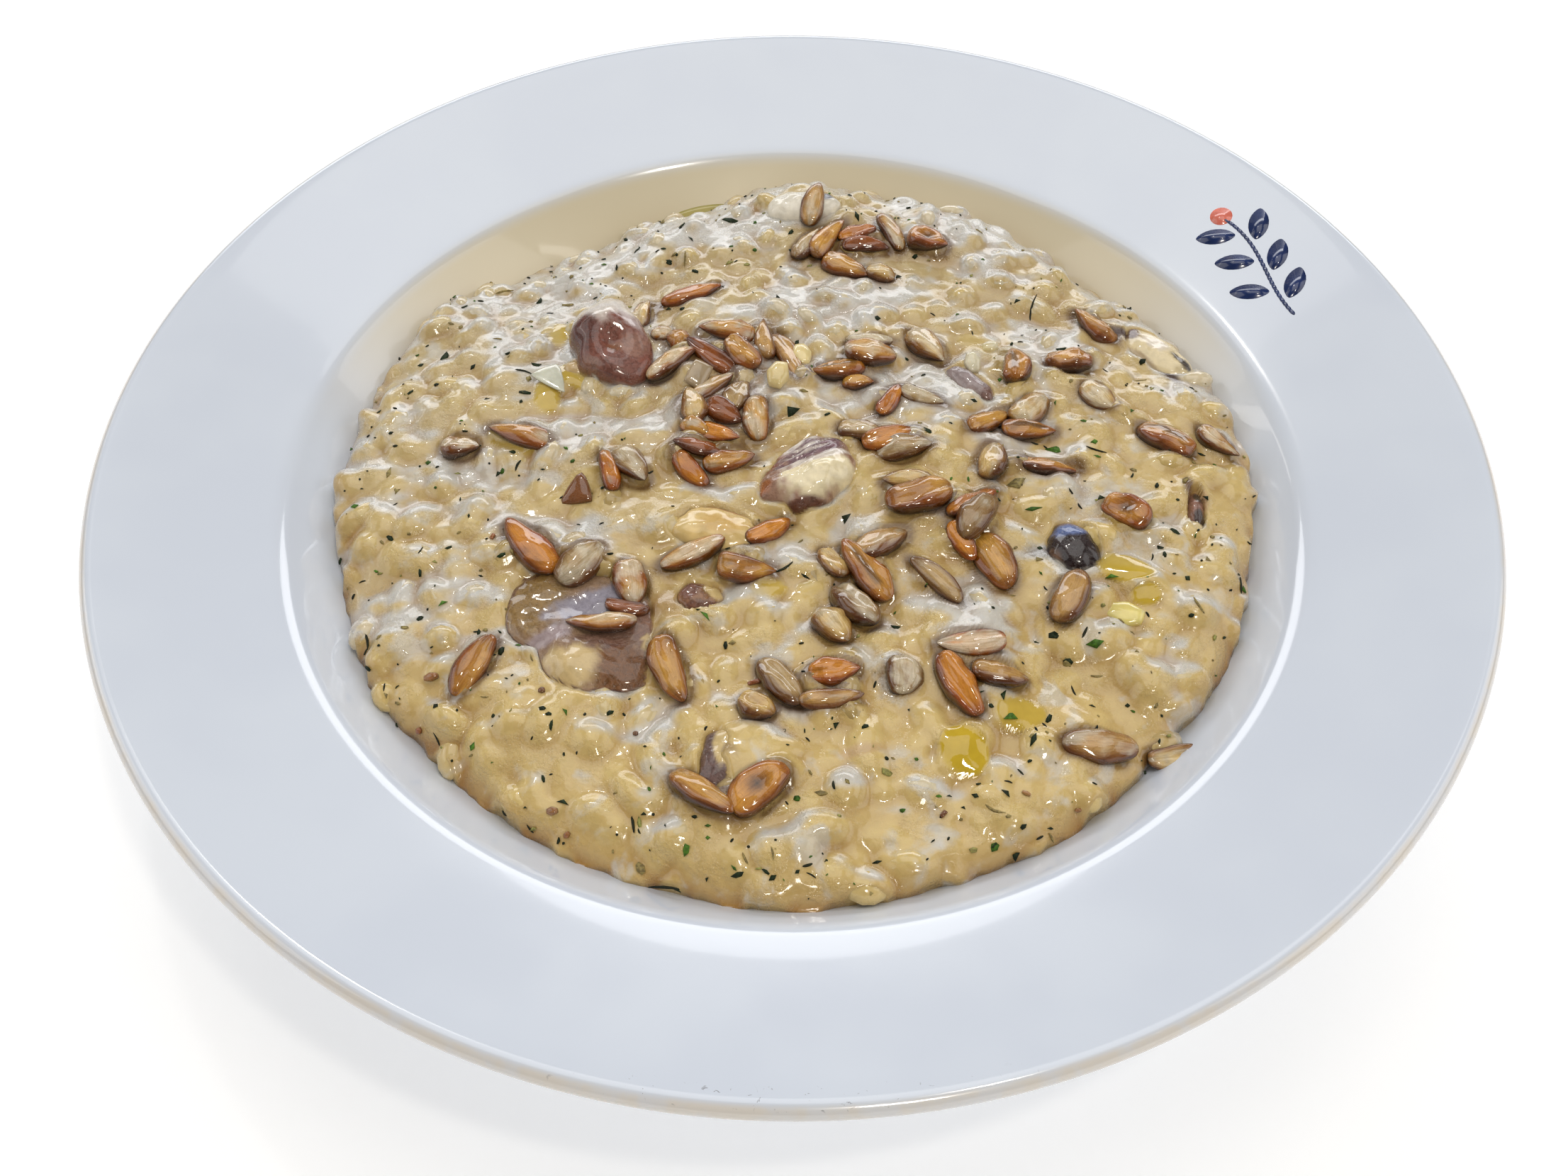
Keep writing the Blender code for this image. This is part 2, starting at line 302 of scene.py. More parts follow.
def well_height(radius):
    """The height of the plate's inner surface, from the floor up to the edge of the well."""
    radius = np.asarray(radius, dtype=float)
    cove_run = np.clip(radius - COVE_START, 0, COVE_ROUND * math.sin(math.radians(WALL_SLOPE)))
    cove = FLOOR_TOP + COVE_ROUND - np.sqrt(COVE_ROUND**2 - cove_run**2)
    past_cove = COVE_START + COVE_ROUND * math.sin(math.radians(WALL_SLOPE))
    return np.where(radius <= past_cove, cove, FLOOR_TOP + radius - WALL_FOOT)


def rim_height(radius):
    """The height of the rim's upper face."""
    return WELL_EDGE_Z + RIM_RISE * (radius - WELL_RADIUS)


print("the rim rises from", round(WELL_EDGE_Z, 2), "to", PLATE_HEIGHT, "mm")

# %% [markdown]
# ## Turning the plate
# `spin` with `use_merge` closes the turned form on itself. A spun section can come out inside out,
# so its faces are recalculated once, while it is still one closed shell.

# %% Spin the section
PLATE_STEPS = 240


def plate_section():
    """The section's corners, from the middle of the floor out to the lip and back underneath."""
    wall_run = WALL_THICKNESS * math.sqrt(2)
    under_start = arc(LIP_CENTRE, LIP_ROUND, -73, 0, 1)[0]
    offset = under_start[1] - RIM_RISE * under_start[0]
    wall_offset = FLOOR_TOP - WALL_FOOT - wall_run
    under_radius = (wall_offset - offset) / (RIM_RISE - 1)
    under_corner = (under_radius, under_radius + wall_offset)
    points = [(20.0 * step / 4, FLOOR_TOP) for step in range(5)] + [(38.0, FLOOR_TOP)]
    points += arc((COVE_START, FLOOR_TOP + COVE_ROUND), COVE_ROUND, -90, WALL_SLOPE - 90, 8)
    points += [(WALL_FOOT + rise, FLOOR_TOP + rise) for rise in (11.0, 15.0)]
    points += rounded_corner((WELL_RADIUS, WELL_EDGE_Z), 8.0, 135, 107, 7)
    points += [(radius, float(rim_height(radius))) for radius in (96.0, 101.0, 106.0, 111.0, 115.0)]
    points += arc(LIP_CENTRE, LIP_ROUND, 107, -73, 14)
    points += [(radius, under_start[1] - RIM_RISE * (under_start[0] - radius)) for radius in (112.0, 104.0)]
    points += rounded_corner(under_corner, -5.0, -73, -45, 5)
    points += [(WALL_FOOT + wall_run + 5.5 - FLOOR_TOP, 5.5), (68.6, RECESS)]
    points += arc((67.4, 0.8), 0.8, 0, -90, 4) + arc((64.6, 0.8), 0.8, -90, -180, 4)
    points += [(62.85, RECESS), (40.0, RECESS), (0.0, RECESS)]
    return points


def turned_form(section, steps):
    """A section on the XZ plane, spun once round the upright axis and closed."""
    form = bmesh.new()
    corners = [form.verts.new((radius, 0, height)) for radius, height in section]
    sides = [form.edges.new(pair) for pair in zip(corners, corners[1:])]
    bmesh.ops.spin(form, geom=corners + sides, axis=(0, 0, 1), cent=(0, 0, 0), steps=steps,
                   angle=2 * math.pi, use_merge=True)
    bmesh.ops.remove_doubles(form, verts=form.verts, dist=0.005)
    bmesh.ops.recalc_face_normals(form, faces=form.faces)
    return form


print("the section has", len(plate_section()), "corners")

# %% [markdown]
# ## Glazed porcelain
# Glaze is a clear hard coat over a white body with a slightly cool cast. On the lip the glaze has
# run thin, which leaves a narrow warm band, and cutlery has left a few fine grey marks on the
# near side of it. The foot ring is unglazed. All of this follows the distance from the middle,
# which the nodes work out from the object's own coordinates.

# %% The porcelain finish
def porcelain_finish():
    """White glaze with a warm lip, grey marks, a painted warm reflection of the risotto on the far wall and a
    bare foot.
    """
    material, tree, shader = new_finish("glazed_porcelain", Coat_Weight=0.6, Coat_Roughness=0.04, IOR=1.52)
    where = object_place(tree)
    split = add_node(tree, "SeparateXYZ", {0: where})
    flat = add_node(tree, "CombineXYZ", {0: split.outputs[0], 1: split.outputs[1]})
    radius = add_node(tree, "VectorMath", {0: flat.outputs[0]}, operation="LENGTH").outputs["Value"]
    cloudiness = remap(tree, grain_noise(tree, where, 24, 2), 0.3, 0.7, 0.0, 1.0)
    body = mix_colours(tree, cloudiness, (*srgb(213, 220, 232), 1), (*srgb(216, 223, 234), 1))
    lip = remap(tree, radius, 118.3 * MM, 119.3 * MM, 0.0, 0.75)
    thin = remap(tree, grain_noise(tree, where, 5, 3), 0.35, 0.6, 0.55, 1.0)
    body = mix_colours(tree, sum_of(tree, "MULTIPLY", lip, thin), body, (*srgb(224, 213, 196), 1))
    # fine grey marks where cutlery has touched the near side of the lip
    near = remap(tree, split.outputs[1], -112 * MM, -117 * MM, 0.0, 1.0)
    crest = remap(tree, split.outputs[2], 37.2 * MM, 37.8 * MM, 0.0, 1.0)
    specks = remap(tree, grain_noise(tree, where, 1.4, 4, 1.5), 0.66, 0.72, 0.0, 0.7)
    marks = sum_of(tree, "MULTIPLY", sum_of(tree, "MULTIPLY", near, crest), specks)
    body = mix_colours(tree, marks, body, (*srgb(120, 118, 122), 1))
    # painted reflection: a faint warm tint on the far wall of the well, where it would mirror the risotto
    far = remap(tree, split.outputs[1], 5 * MM, 60 * MM, 0.0, 0.8)
    wall = remap(tree, radius, 90.5 * MM, 87.0 * MM, 0.0, 1.0)
    body = mix_colours(tree, sum_of(tree, "MULTIPLY", far, wall), body, (*srgb(220, 203, 160), 1))
    bare = remap(tree, split.outputs[2], 1.2 * MM, 0.5 * MM, 0.0, 1.0)
    body = mix_colours(tree, bare, body, (*srgb(196, 186, 170), 1))
    tree.links.new(body, shader.inputs["Base Color"])
    uneven_gloss = sum_of(tree, "MULTIPLY", cloudiness, 0.05)
    rough = sum_of(tree, "ADD", remap(tree, bare, 0, 1, 0.13, 0.7), uneven_gloss)
    tree.links.new(rough, shader.inputs["Roughness"])
    add_bump(tree, shader, grain_noise(tree, where, 9, 2), 0.02)
    return material


plate_form = turned_form(plate_section(), PLATE_STEPS)
plate = finish_piece("porcelain_plate", plate_form, porcelain_finish())
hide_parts("plate")

# %% [markdown]
# ## A map of the heap
# The heap's skin is one height for every place on the plate, so it is kept as a map: a fine
# square grid of heights in millimetres. Everything that lies on the rice reads this map to find
# its height and its slope. The map starts from the same rounded shoulder, low dome, mounds and
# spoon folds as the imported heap.

# %% The heap's outline and its large form
GAP = 0.4
HEAP_RADIUS = 83.0
HEAP_EDGE_LEVEL = 23.4
# the outline's swells: angle, half width, rise; the mounds and hollows: place, reach, rise
SWELLS = ((118, 20, -4.4), (146, 12, 0.6), (92, 14, 1.4), (48, 20, -1.6), (176, 22, -1.2),
          (222, 26, -2.6), (274, 30, 0.8), (322, 16, -2.2))
MOUNDS = ((3, 70, 12, 3.2), (-24, 60, 11, 1.6), (34, 60, 12, 1.6), (14, 52, 12, 1.0),
          (-14, 16, 15, 0.9), (-58, 22, 13, 0.8), (-66, -12, 13, 0.7), (-56, -38, 12, 0.8),
          (60, -6, 14, 1.0), (72, 22, 9, 0.9), (24, -12, 14, 0.6), (-6, -62, 12, 1.0),
          (38, -68, 12, 0.7), (-22, -48, 9, -0.8), (50, 36, 11, -0.6), (14, -66, 10, -0.7))
MAP_STEP = 0.25
MAP_HALF = 88.0
ticks = np.arange(-MAP_HALF, MAP_HALF + MAP_STEP / 2, MAP_STEP)
MAP_X, MAP_Y = np.meshgrid(ticks, ticks)


def edge_radius(angle):
    """How far out the risotto reaches, at an angle in degrees round the plate."""
    radius = HEAP_RADIUS + 0.5 * np.sin(np.radians(7 * angle)) + 0.4 * np.cos(np.radians(12 * angle))
    for place, half_width, swell in SWELLS:
        apart = (angle - place + 180) % 360 - 180
        radius = radius + swell * np.exp(-((apart / half_width) ** 2))
    return radius


def inside_edge(x, y):
    """How far a place lies inside the heap's edge."""
    return edge_radius(np.degrees(np.arctan2(y, x))) - np.hypot(x, y)


def heap_form(x, y):
    """The height of the heap before the grains: shoulder, dome, mounds and the folds of a spoon."""
    edge = edge_radius(np.degrees(np.arctan2(y, x)))
    inside = np.maximum(edge - np.hypot(x, y), 0)
    height = HEAP_EDGE_LEVEL + (well_height(edge) + GAP - HEAP_EDGE_LEVEL) * np.exp(-inside / 14.0)
    height = height + 5.2 * (1 - np.exp(-inside / 3.0)) + 3.9 * (1 - np.exp(-((inside / 48.0) ** 2)))
    relief = sum(rise * np.exp(-((x - mound_x) ** 2 + (y - mound_y) ** 2) / reach**2)
                 for mound_x, mound_y, reach, rise in MOUNDS)
    heading = math.radians(38.0)
    across = x * math.cos(heading) + y * math.sin(heading)
    fold = np.cos(2 * math.pi * across / 17.0) * np.exp(-((x - 48) ** 2 + (y + 38) ** 2) / 26.0**2)
    return height + (1 - np.exp(-((inside / 3.0) ** 2))) * (relief + fold)


skin = heap_form(MAP_X, MAP_Y)
print("the heap stands between", round(float(skin.min()), 1), "and", round(float(skin.max()), 1), "mm")

# %% [markdown]
# ## Clouds, blurs and readings
# A cloud is soft random noise of a chosen spot size. The same seed gives the same cloud on every
# run. A blur and a reading between the map's points complete the set of tools.

# %% Tools that work on the map
def cloud(x, y, size, seed, octaves=2, stretch=1.0):
    """Soft noise from -1 to 1 with spots of about size mm, longer along X where stretch is over 1."""
    lattice = np.random.default_rng(seed).uniform(-1, 1, (64, 64))
    total, weight = 0.0, 0.0
    for octave in range(octaves):
        px = np.asarray(x) / (size * stretch) * 2**octave + 11.3 * octave
        py = np.asarray(y) / size * 2**octave + 5.7 * octave
        col, row = np.floor(px).astype(int), np.floor(py).astype(int)
        fx, fy = px - col, py - row
        fx, fy = fx * fx * (3 - 2 * fx), fy * fy * (3 - 2 * fy)
        near = lattice[row % 64, col % 64] * (1 - fx) + lattice[row % 64, (col + 1) % 64] * fx
        far = lattice[(row + 1) % 64, col % 64] * (1 - fx) + lattice[(row + 1) % 64, (col + 1) % 64] * fx
        total = total + (near * (1 - fy) + far * fy) * 0.5**octave
        weight += 0.5**octave
    return total / weight * 1.4


def blurred(field, reach):
    """The map with every height shared out over its surroundings."""
    half = int(3 * reach / MAP_STEP)
    weights = np.exp(-((np.arange(-half, half + 1) * MAP_STEP / reach) ** 2) / 2)
    weights /= weights.sum()
    for axis in (0, 1):
        field = np.apply_along_axis(
            lambda line: np.convolve(np.pad(line, half, "edge"), weights, "valid"), axis, field)
    return field


def read_map(field, x, y):
    """The map's value at places between its points."""
    col = np.clip((np.asarray(x) + MAP_HALF) / MAP_STEP, 0, len(ticks) - 1.001)
    row = np.clip((np.asarray(y) + MAP_HALF) / MAP_STEP, 0, len(ticks) - 1.001)
    c, r = col.astype(int), row.astype(int)
    fc, fr = col - c, row - r
    low = field[r, c] * (1 - fc) + field[r, c + 1] * fc
    high = field[r + 1, c] * (1 - fc) + field[r + 1, c + 1] * fc
    return low * (1 - fr) + high * fr


def height_at(field, x, y):
    """The map's value at one place."""
    return float(read_map(field, x, y))


def smooth_step(low, high, value):
    """A soft step from 0 to 1 between two values."""
    share = np.clip((value - low) / (high - low), 0, 1)
    return share * share * (3 - 2 * share)


def soft_max(first, second, blend):
    """The larger of two, with the crease between them filled. Also returns the second one's share."""
    share = np.clip(0.5 + 0.5 * (second - first) / blend, 0, 1)
    return first * (1 - share) + second * share + blend * share * (1 - share), share


def map_span(value, reach):
    """The rows or columns of the map within reach of a coordinate."""
    low = int((value - reach + MAP_HALF) / MAP_STEP)
    high = int((value + reach + MAP_HALF) / MAP_STEP) + 2
    return slice(max(low, 0), max(min(high, len(ticks)), 0))


def part_of_map(x, y, turn, reach):
    """The part of the map within reach of a piece, and its points' places along and across the
    piece, which is turned by some degrees."""
    part = (map_span(y, reach), map_span(x, reach))
    dx, dy = MAP_X[part] - x, MAP_Y[part] - y
    cosine, sine = math.cos(math.radians(turn)), math.sin(math.radians(turn))
    return part, dx * cosine + dy * sine, dy * cosine - dx * sine


print("the map has", MAP_X.size, "places, one every", MAP_STEP, "mm")

# %% [markdown]
# ## Rice under cream
# Risotto is cooked rice, each grain about six millimetres long, held in a thick cream. From
# above, every top grain is a soft mound with a crease of cream round it. The grains are laid out on
# a loose grid, pushed about by chance, and each one raises the map by its own rounded back. They
# are more swollen on the near side. A soft maximum leaves the creamy fillets between them.

# %% Lay the grains and raise their backs
GRAIN_SPACING = 5.5
CREAM_FILLET = 0.75
FIELD = 86.0  # the grid of grains reaches this far each way
chance = np.random.default_rng(21)
mid_form = 1.0 * cloud(MAP_X, MAP_Y, 13, 3, 1) + 0.55 * cloud(MAP_X, MAP_Y, 6.5, 4, 1)
edge_fade = smooth_step(-0.5, 5.0, inside_edge(MAP_X, MAP_Y))
skin = skin + edge_fade * (mid_form - 0.7)
bed = skin.copy()
rice_share = np.zeros_like(skin)
grains = []
for row_index, row_y in enumerate(np.arange(-FIELD, FIELD, GRAIN_SPACING * 0.866)):
    for col_x in np.arange(-FIELD, FIELD, GRAIN_SPACING) + (row_index % 2) * GRAIN_SPACING / 2:
        x, y = np.array([col_x, row_y]) + chance.uniform(-1.9, 1.9, 2)
        swollen = 1.12 - 0.22 * float(smooth_step(0, 60, y))
        length, width = swollen * chance.uniform(5.6, 8.6), swollen * chance.uniform(4.4, 6.2)
        turn, proud = chance.uniform(0, 180), chance.uniform(-0.2, 1.9)
        if inside_edge(x, y) > 0.3:
            grains.append((x, y, turn, length, width, proud))
for x, y, turn, length, width, proud in grains:
    part, along, across = part_of_map(x, y, turn, length * 0.62)
    spread = (along / (length / 2)) ** 2 + (across / (width / 2)) ** 2
    fall = 2.3 * (1 - np.sqrt(np.clip(1 - spread, 0, 1)))
    back = read_map(bed, x, y) + proud - fall - 3 * np.maximum(spread - 1, 0)
    skin[part], share = soft_max(skin[part], back, CREAM_FILLET)
    rice_share[part] = np.maximum(rice_share[part] * (1 - share), share)
skin = blurred(skin, 0.45)
print(len(grains), "grains of rice lie under the cream")

# %% [markdown]
# ## The mushroom pieces
# Eleven pieces of cooked brown mushroom lie in the heap. Each stands for a piece of the packed
# model and lies within three millimetres of its place. The smaller a piece's flatness, the flatter
# its top. Dents press soft hollows into it, or push soft bulges out where their depth has a minus.

# %% The pieces' sizes and places
Mushroom = namedtuple("Mushroom", "x y length width depth turn proud flatness taper dents")
MUSHROOMS = {
    "mushroom_cap_left": Mushroom(-34.2, 28.8, 15.5, 20.5, 14, 0, 8.2, 0.8, 0.0,
                                  ((1, -3.8, 2.6, 1.8), (-4, -6, 3, 1.2), (-1, 2, 3, -0.8), (7, -7, 5, 2.6))),
    "mushroom_slice_middle": Mushroom(3.3, -4.5, 21.6, 17, 10, 30, 4.2, 0.8, 0.0,
                                      ((-1, 3.4, 4, 1.2), (2, -3, 4, -0.9))),
    "mushroom_cap_large": Mushroom(-35, -35, 28, 28, 9, 0, 1.3, 0.6, 0.0,
                                   ((-6, 5, 6, 0.7), (-1, -9.2, 4, -1.9), (2, -1, 3, 0.7))),
    "mushroom_gills": Mushroom(-15.4, -29.6, 8.5, 6.5, 6, 10, 1.2, 0.7, 0.0, ()),
    "mushroom_slice_pale": Mushroom(-13, -16.2, 17, 9, 7, -14, 1.4, 0.7, 0.0, ()),
    "mushroom_cap_dark": Mushroom(48.0, -18.3, 12, 8.8, 9, -62, 3.0, 0.9, 0.1, ((-2, -3, 2.5, 0.8),)),
    "mushroom_piece_near": Mushroom(-7.0, -60.3, 18.5, 12.5, 9, 8, 1.1, 0.6, -0.2,
                                    ((3, 1, 3, -0.7), (-1, 1, 2, 0.5))),
    "mushroom_piece_far": Mushroom(2.5, 70, 15, 9.5, 9, 10, 2.3, 0.7, 0.0, ((3.5, 1, 2.5, 0.8),)),
    "mushroom_slice_right": Mushroom(69.5, 31, 16, 8.5, 7, -52, 1.5, 0.7, 0.0, ()),
    "mushroom_strip": Mushroom(32.8, 20, 11, 5.5, 6, -48, 1.0, 0.8, 0.2, ()),
    "mushroom_bit_right": Mushroom(70.4, -9.5, 10, 3.6, 6, 84, 0.4, 0.8, 0.0, ()),
}
print("the longest piece is", max(max(piece.length, piece.width) for piece in MUSHROOMS.values()), "mm")

# %% [markdown]
# ## The outline of a piece
# No cut piece of mushroom is a clean oval. Three large ones have an outline of their own, given by
# its reach every 15 degrees. The others swell and shrink a little as they go round.

# %% How far out a place is on a piece
OUTLINES = {  # the reach every 15 degrees, from the +X side round
    "mushroom_cap_left": (1.0, 0.88, 0.85, 0.88, 0.92, 0.96, 0.98, 0.95, 0.93, 0.95, 0.96, 0.98,
                          0.98, 0.88, 0.86, 0.9, 0.93, 0.96, 1.0, 1.1, 1.2, 1.32, 1.33, 1.15),
    "mushroom_cap_large": (1.08, 1.0, 0.98, 1.0, 0.96, 0.95, 0.98, 1.03, 1.18, 1.25, 1.12, 1.03,
                           0.93, 0.78, 0.68, 0.68, 0.74, 0.86, 0.99, 1.04, 1.10, 1.16, 1.15, 1.12),
    "mushroom_slice_middle": (0.85, 0.88, 0.93, 1.02, 1.09, 1.0, 0.88, 0.78, 0.80, 0.84, 0.87, 0.93,
                              0.96, 0.90, 0.86, 0.86, 0.85, 0.80, 0.78, 0.74, 0.72, 0.74, 0.79, 0.82),
}


def uneven(name, swirl):
    """The reach of a piece's outline in one direction, beside that of a plain oval."""
    x, y = MUSHROOMS[name][:2]
    ripple = 0.03 * np.sin(5 * swirl + x + y) + 0.015 * np.sin(9 * swirl + x)
    if name in OUTLINES:
        reaches = OUTLINES[name] + OUTLINES[name][:1]
        return np.interp(np.degrees(swirl) % 360, np.arange(25) * 15, reaches) + ripple
    return 1 + 0.05 * np.sin(2 * swirl + x) + 0.05 * np.sin(3 * swirl + y) + ripple


def mushroom_outline(name, along, across):
    """How far out a place is on a piece: 1 on its outline, as seen from above."""
    piece = MUSHROOMS[name]
    u = along / (piece.length / 2)
    v = across / (piece.width / 2) / (1 + piece.taper * np.clip(u, -1, 1))
    return np.hypot(u, v) / uneven(name, np.arctan2(v, u))


def mushroom_top(name, out):
    """The height of a piece's rounded top, as far out on it as mushroom_outline says."""
    piece = MUSHROOMS[name]
    fall = 1 - np.clip(1 - out**2, 0, 1) ** (0.5 * piece.flatness)
    return height_at(bed, piece.x, piece.y) + piece.proud - piece.depth / 2 * fall


print(len(OUTLINES), "of", len(MUSHROOMS), "pieces have an outline of their own")

# %% [markdown]
# ## Bedding the mushrooms
# Before the rice is meshed, the map sinks under each piece and rises to a low wet lip round it, so
# that the pieces look bedded in and not laid on. Cream has run over most of one piece: there the
# map is lifted over its top instead. At last, faint ripples are laid over all the cream.

# %% Sink the map under the pieces
BED_DEPTH = 1.5
DROWNED = {"mushroom_piece_near": -0.42}  # the cream covers it from here on, in half lengths
CREAM_OVER = 0.9  # how thick that cream is
for name, piece in MUSHROOMS.items():
    part, along, across = part_of_map(piece.x, piece.y, piece.turn, max(piece.length, piece.width) * 0.75)
    out = mushroom_outline(name, along, across)
    bed_share = 1 - smooth_step(0.78, 0.98, out)
    lip = (0.18 + 0.14 * cloud(along, across, 4.0, 13)) * np.exp(-(((out - 1.06) / 0.10) ** 2))
    if name in DROWNED:
        shore = along / (piece.length / 2) - DROWNED[name] + 0.12 * cloud(across, along, 3.0, 12)
        cover = smooth_step(-0.14, 0.14, shore) * (out < 1)
        skin[part] += cover * np.maximum(mushroom_top(name, out) + CREAM_OVER - skin[part], 0)
        bed_share = bed_share * (1 - cover)
        lip = 0
    skin[part] = skin[part] * (1 - bed_share) + (bed[part] - BED_DEPTH) * bed_share
    skin[part] += lip
    rice_share[part] *= 1 - bed_share
skin += 0.13 * edge_fade * cloud(MAP_X, MAP_Y, 2.4, 14, 2)
print(len(MUSHROOMS), "mushroom pieces are bedded, the cream has run over", len(DROWNED))

# %% [markdown]
# ## Where the kernels lie
# The cook scattered about ninety toasted sunflower kernels by hand. Their layout is kept as a
# list: place on a level sheet 35 mm up, just above the rice, heading of the pointed tip in degrees,
# length, width, tone, and how much cream clings to the top. A piece on the sheet slides along
# the diner's line of sight down to the rice, so what the eye sees stays where the list says.

# %% The layout of the kernels
KERNELS = (
    (-6, 6.7, 90, 10, 5, "gold", 0.5), (-9.5, 12.5, 70, 8, 5, "grey", 0.4),
    (-13, 3.3, -30, 9.5, 4.5, "orange", 0.0), (-16.5, -0.3, 175, 9, 3.5, "russet", 0.0),
    (-11, -3, 15, 9.5, 4.5, "gold", 0.2), (-17.5, -5.5, -45, 8.5, 4, "orange", 0.1),
    (-27.5, 33.5, 80, 7.5, 4, "pale", 0.6), (-24, 28.5, 20, 4.5, 3.5, "gold", 0.7),
    (-21.5, 26.5, 130, 5.5, 4.5, "gold", 0.2), (-22, 20.5, 40, 11, 4.5, "gold", 0.6),
    (-14.5, 14, 42, 11, 4.5, "tan", 0.5), (-19, 39, 22, 12.5, 4, "orange", 0.1),
    (-15, 22.5, 140, 11.5, 4.5, "russet", 0.0), (-12, 28.5, 170, 11, 5, "gold", 0.3),
    (-9, 23.5, -50, 9, 5, "gold", 0.1), (-4.8, 27, 95, 10, 4, "tan", 0.2),
    (-1, 22, 110, 13, 4.5, "tan", 0.1), (14.5, 26.5, 10, 9, 4, "grey", 0.7),
    (14.5, 23.5, 180, 10, 6, "gold", 0.5), (8.5, 18.7, 188, 10, 5, "striped", 0.2),
    (12, 15.5, -5, 6, 3.5, "gold", 0.1), (24.8, 24.3, -55, 10.5, 6, "pale", 0.6),
    (17.5, 11.5, 60, 8, 3.5, "orange", 0.1), (23.5, 12.5, -25, 8.5, 3.5, "grey", 0.6),
    (40.5, 20.5, 90, 9.5, 5.5, "striped", 0.1), (50.5, 20.2, -5, 9, 6, "gold", 0.1),
    (42.5, 9.5, 45, 9, 6, "pale", 0.5), (35, 6, 35, 10, 4.5, "gold", 0.1),
    (41.8, 4, 0, 10, 4.5, "striped", 0.0), (12, 3, -12, 8, 4.5, "grey", 0.5),
    (17, 2, 13, 10, 4.5, "orange", 0.0), (19.5, -1.5, 5, 10, 5, "grey", 0.5),
    (34.5, -3.5, 80, 9, 5.5, "pale", 0.4), (44.5, -5.5, 3, 11, 4.5, "striped", 0.0),
    (20, -8, 170, 9, 4, "pale", 0.3), (21.5, -12, 195, 12, 7, "gold", 0.0),
    (3.5, 54, 55, 10, 4.5, "grey", 0.4), (4.5, 62.0, 75, 10, 5, "tan", 0.4),
    (13, 57.5, 15, 8, 4, "orange", 0.0), (7.5, 55.5, 60, 12, 4.5, "gold", 0.1),
    (14.5, 52.5, 0, 9.5, 4, "russet", 0.0), (10.5, 46.5, -25, 10, 5.5, "gold", 0.2),
    (17, 44.5, -20, 6, 4.5, "pale", 0.5), (19.5, 57, 115, 10, 4, "tan", 0.5),
    (27, 55.5, -30, 8.5, 6.5, "ringed", 0.0), (28.5, -21, -60, 8, 4, "orange", 0.0),
    (30.5, -13, 35, 10.5, 4.5, "orange", 0.1), (31.5, -16.5, 55, 11, 6, "grey", 0.3),
    (33, -26.5, -65, 12, 6.5, "gold", 0.0), (23.5, -29.5, 132, 12, 4, "grey", 0.2),
    (6.8, -26, -65, 8, 4.5, "pale", 0.3), (15, -22, 35, 10.5, 6, "tan", 0.5),
    (12, -27.5, 122, 14, 6, "striped", 0.0), (10.3, -35.5, -55, 10.5, 6.5, "grey", 0.5),
    (6.5, -39.7, -50, 7.5, 6, "pale", 0.4), (-7.5, -27.5, -5, 10, 5.5, "gold", 0.1),
    (-4, -19, 38, 9.5, 4, "orange", 0.0), (-16.5, -24, 25, 12, 4.5, "gold", 0.6),
    (28.5, -42, 185, 11.5, 4.5, "orange", 0.7), (32.5, -48.5, -10, 9.5, 5, "tan", 0.3),
    (26, -51, -65, 12.5, 5.5, "orange", 0.0), (17, -49, 85, 7, 6, "grey", 0.6),
    (6.5, -48, 5, 8.5, 5, "orange", 0.0), (6, -53, 8, 10.5, 3.5, "tan", 0.2),
    (-2, -49.8, -55, 11, 5.5, "grey", 0.3), (-5.5, -54.5, -35, 6.5, 5.5, "pale", 0.3),
    (-19, -48, -70, 12.5, 5.5, "gold", 0.0), (-13.5, -70, -38, 12.5, 5, "gold", 0.1),
    (-5, -70, 40, 11, 6.5, "ringed", 0.0), (45, -33, 65, 11, 6, "tan", 0.1),
    (56.5, -15.5, -40, 9, 6, "ringed", 0.0), (75, 1, -50, 9.5, 4, "tan", 0.5),
    (65.5, 1, -35, 11, 6.5, "striped", 0.0), (55, 12, -50, 8, 5, "pale", 0.7),
    (56.5, 30.5, 132, 10.5, 4.5, "gold", 0.0), (46.5, -62, 180, 12.5, 6, "tan", 0.4),
    (57.5, -63.5, 192, 9, 4, "pale", 0.4), (-58, 0, -5, 7, 5, "tan", 0.6),
    (-48, 2.5, 158, 12.5, 5, "gold", 0.4), (-31.8, -5.5, -75, 9.5, 3.5, "orange", 0.2),
    (-28, -4.5, -55, 10, 5.5, "grey", 0.5), (-26.5, -36.5, -5, 7.5, 3, "russet", 0.0),
    (-30.5, -39.7, 177, 12, 4, "gold", 0.5), (-26.5, -30.5, -80, 8.5, 6, "gold", 0.6),
    (-35, -26.5, 45, 10, 6.5, "grey", 0.5), (-43.5, -22.5, 132, 14, 6, "orange", 0.0),
    (-50, -47.5, 62, 12, 5, "gold", 0.0), (-12, 8, -35, 8, 5, "russet", 0.2),
    (-18, 10, 100, 9, 5, "pale", 0.4), (-17, 4.5, -30, 6, 4, "gold", 0.3),
)
SHEET_LEVEL = 35


def drop_to_skin(sheet_x, sheet_y, lift=0.0):
    """Where the diner's line of sight through a place on the level sheet meets the map."""
    x, y = sheet_x, sheet_y
    for _ in range(8):
        z = height_at(skin, x, y) + lift
        x = sheet_x + (sheet_x - EYE.x) * (SHEET_LEVEL - z) / (EYE.z - SHEET_LEVEL)
        y = sheet_y + (sheet_y - EYE.y) * (SHEET_LEVEL - z) / (EYE.z - SHEET_LEVEL)
    return x, y


print(len(KERNELS), "kernels are laid out")


# %% [markdown]
# ## The ground that the kernels fall on
# A second map holds the tops of everything laid so far: at first the rice and the mushrooms, later
# each kernel as well. A little blur keeps a kernel from tipping into a narrow crease.

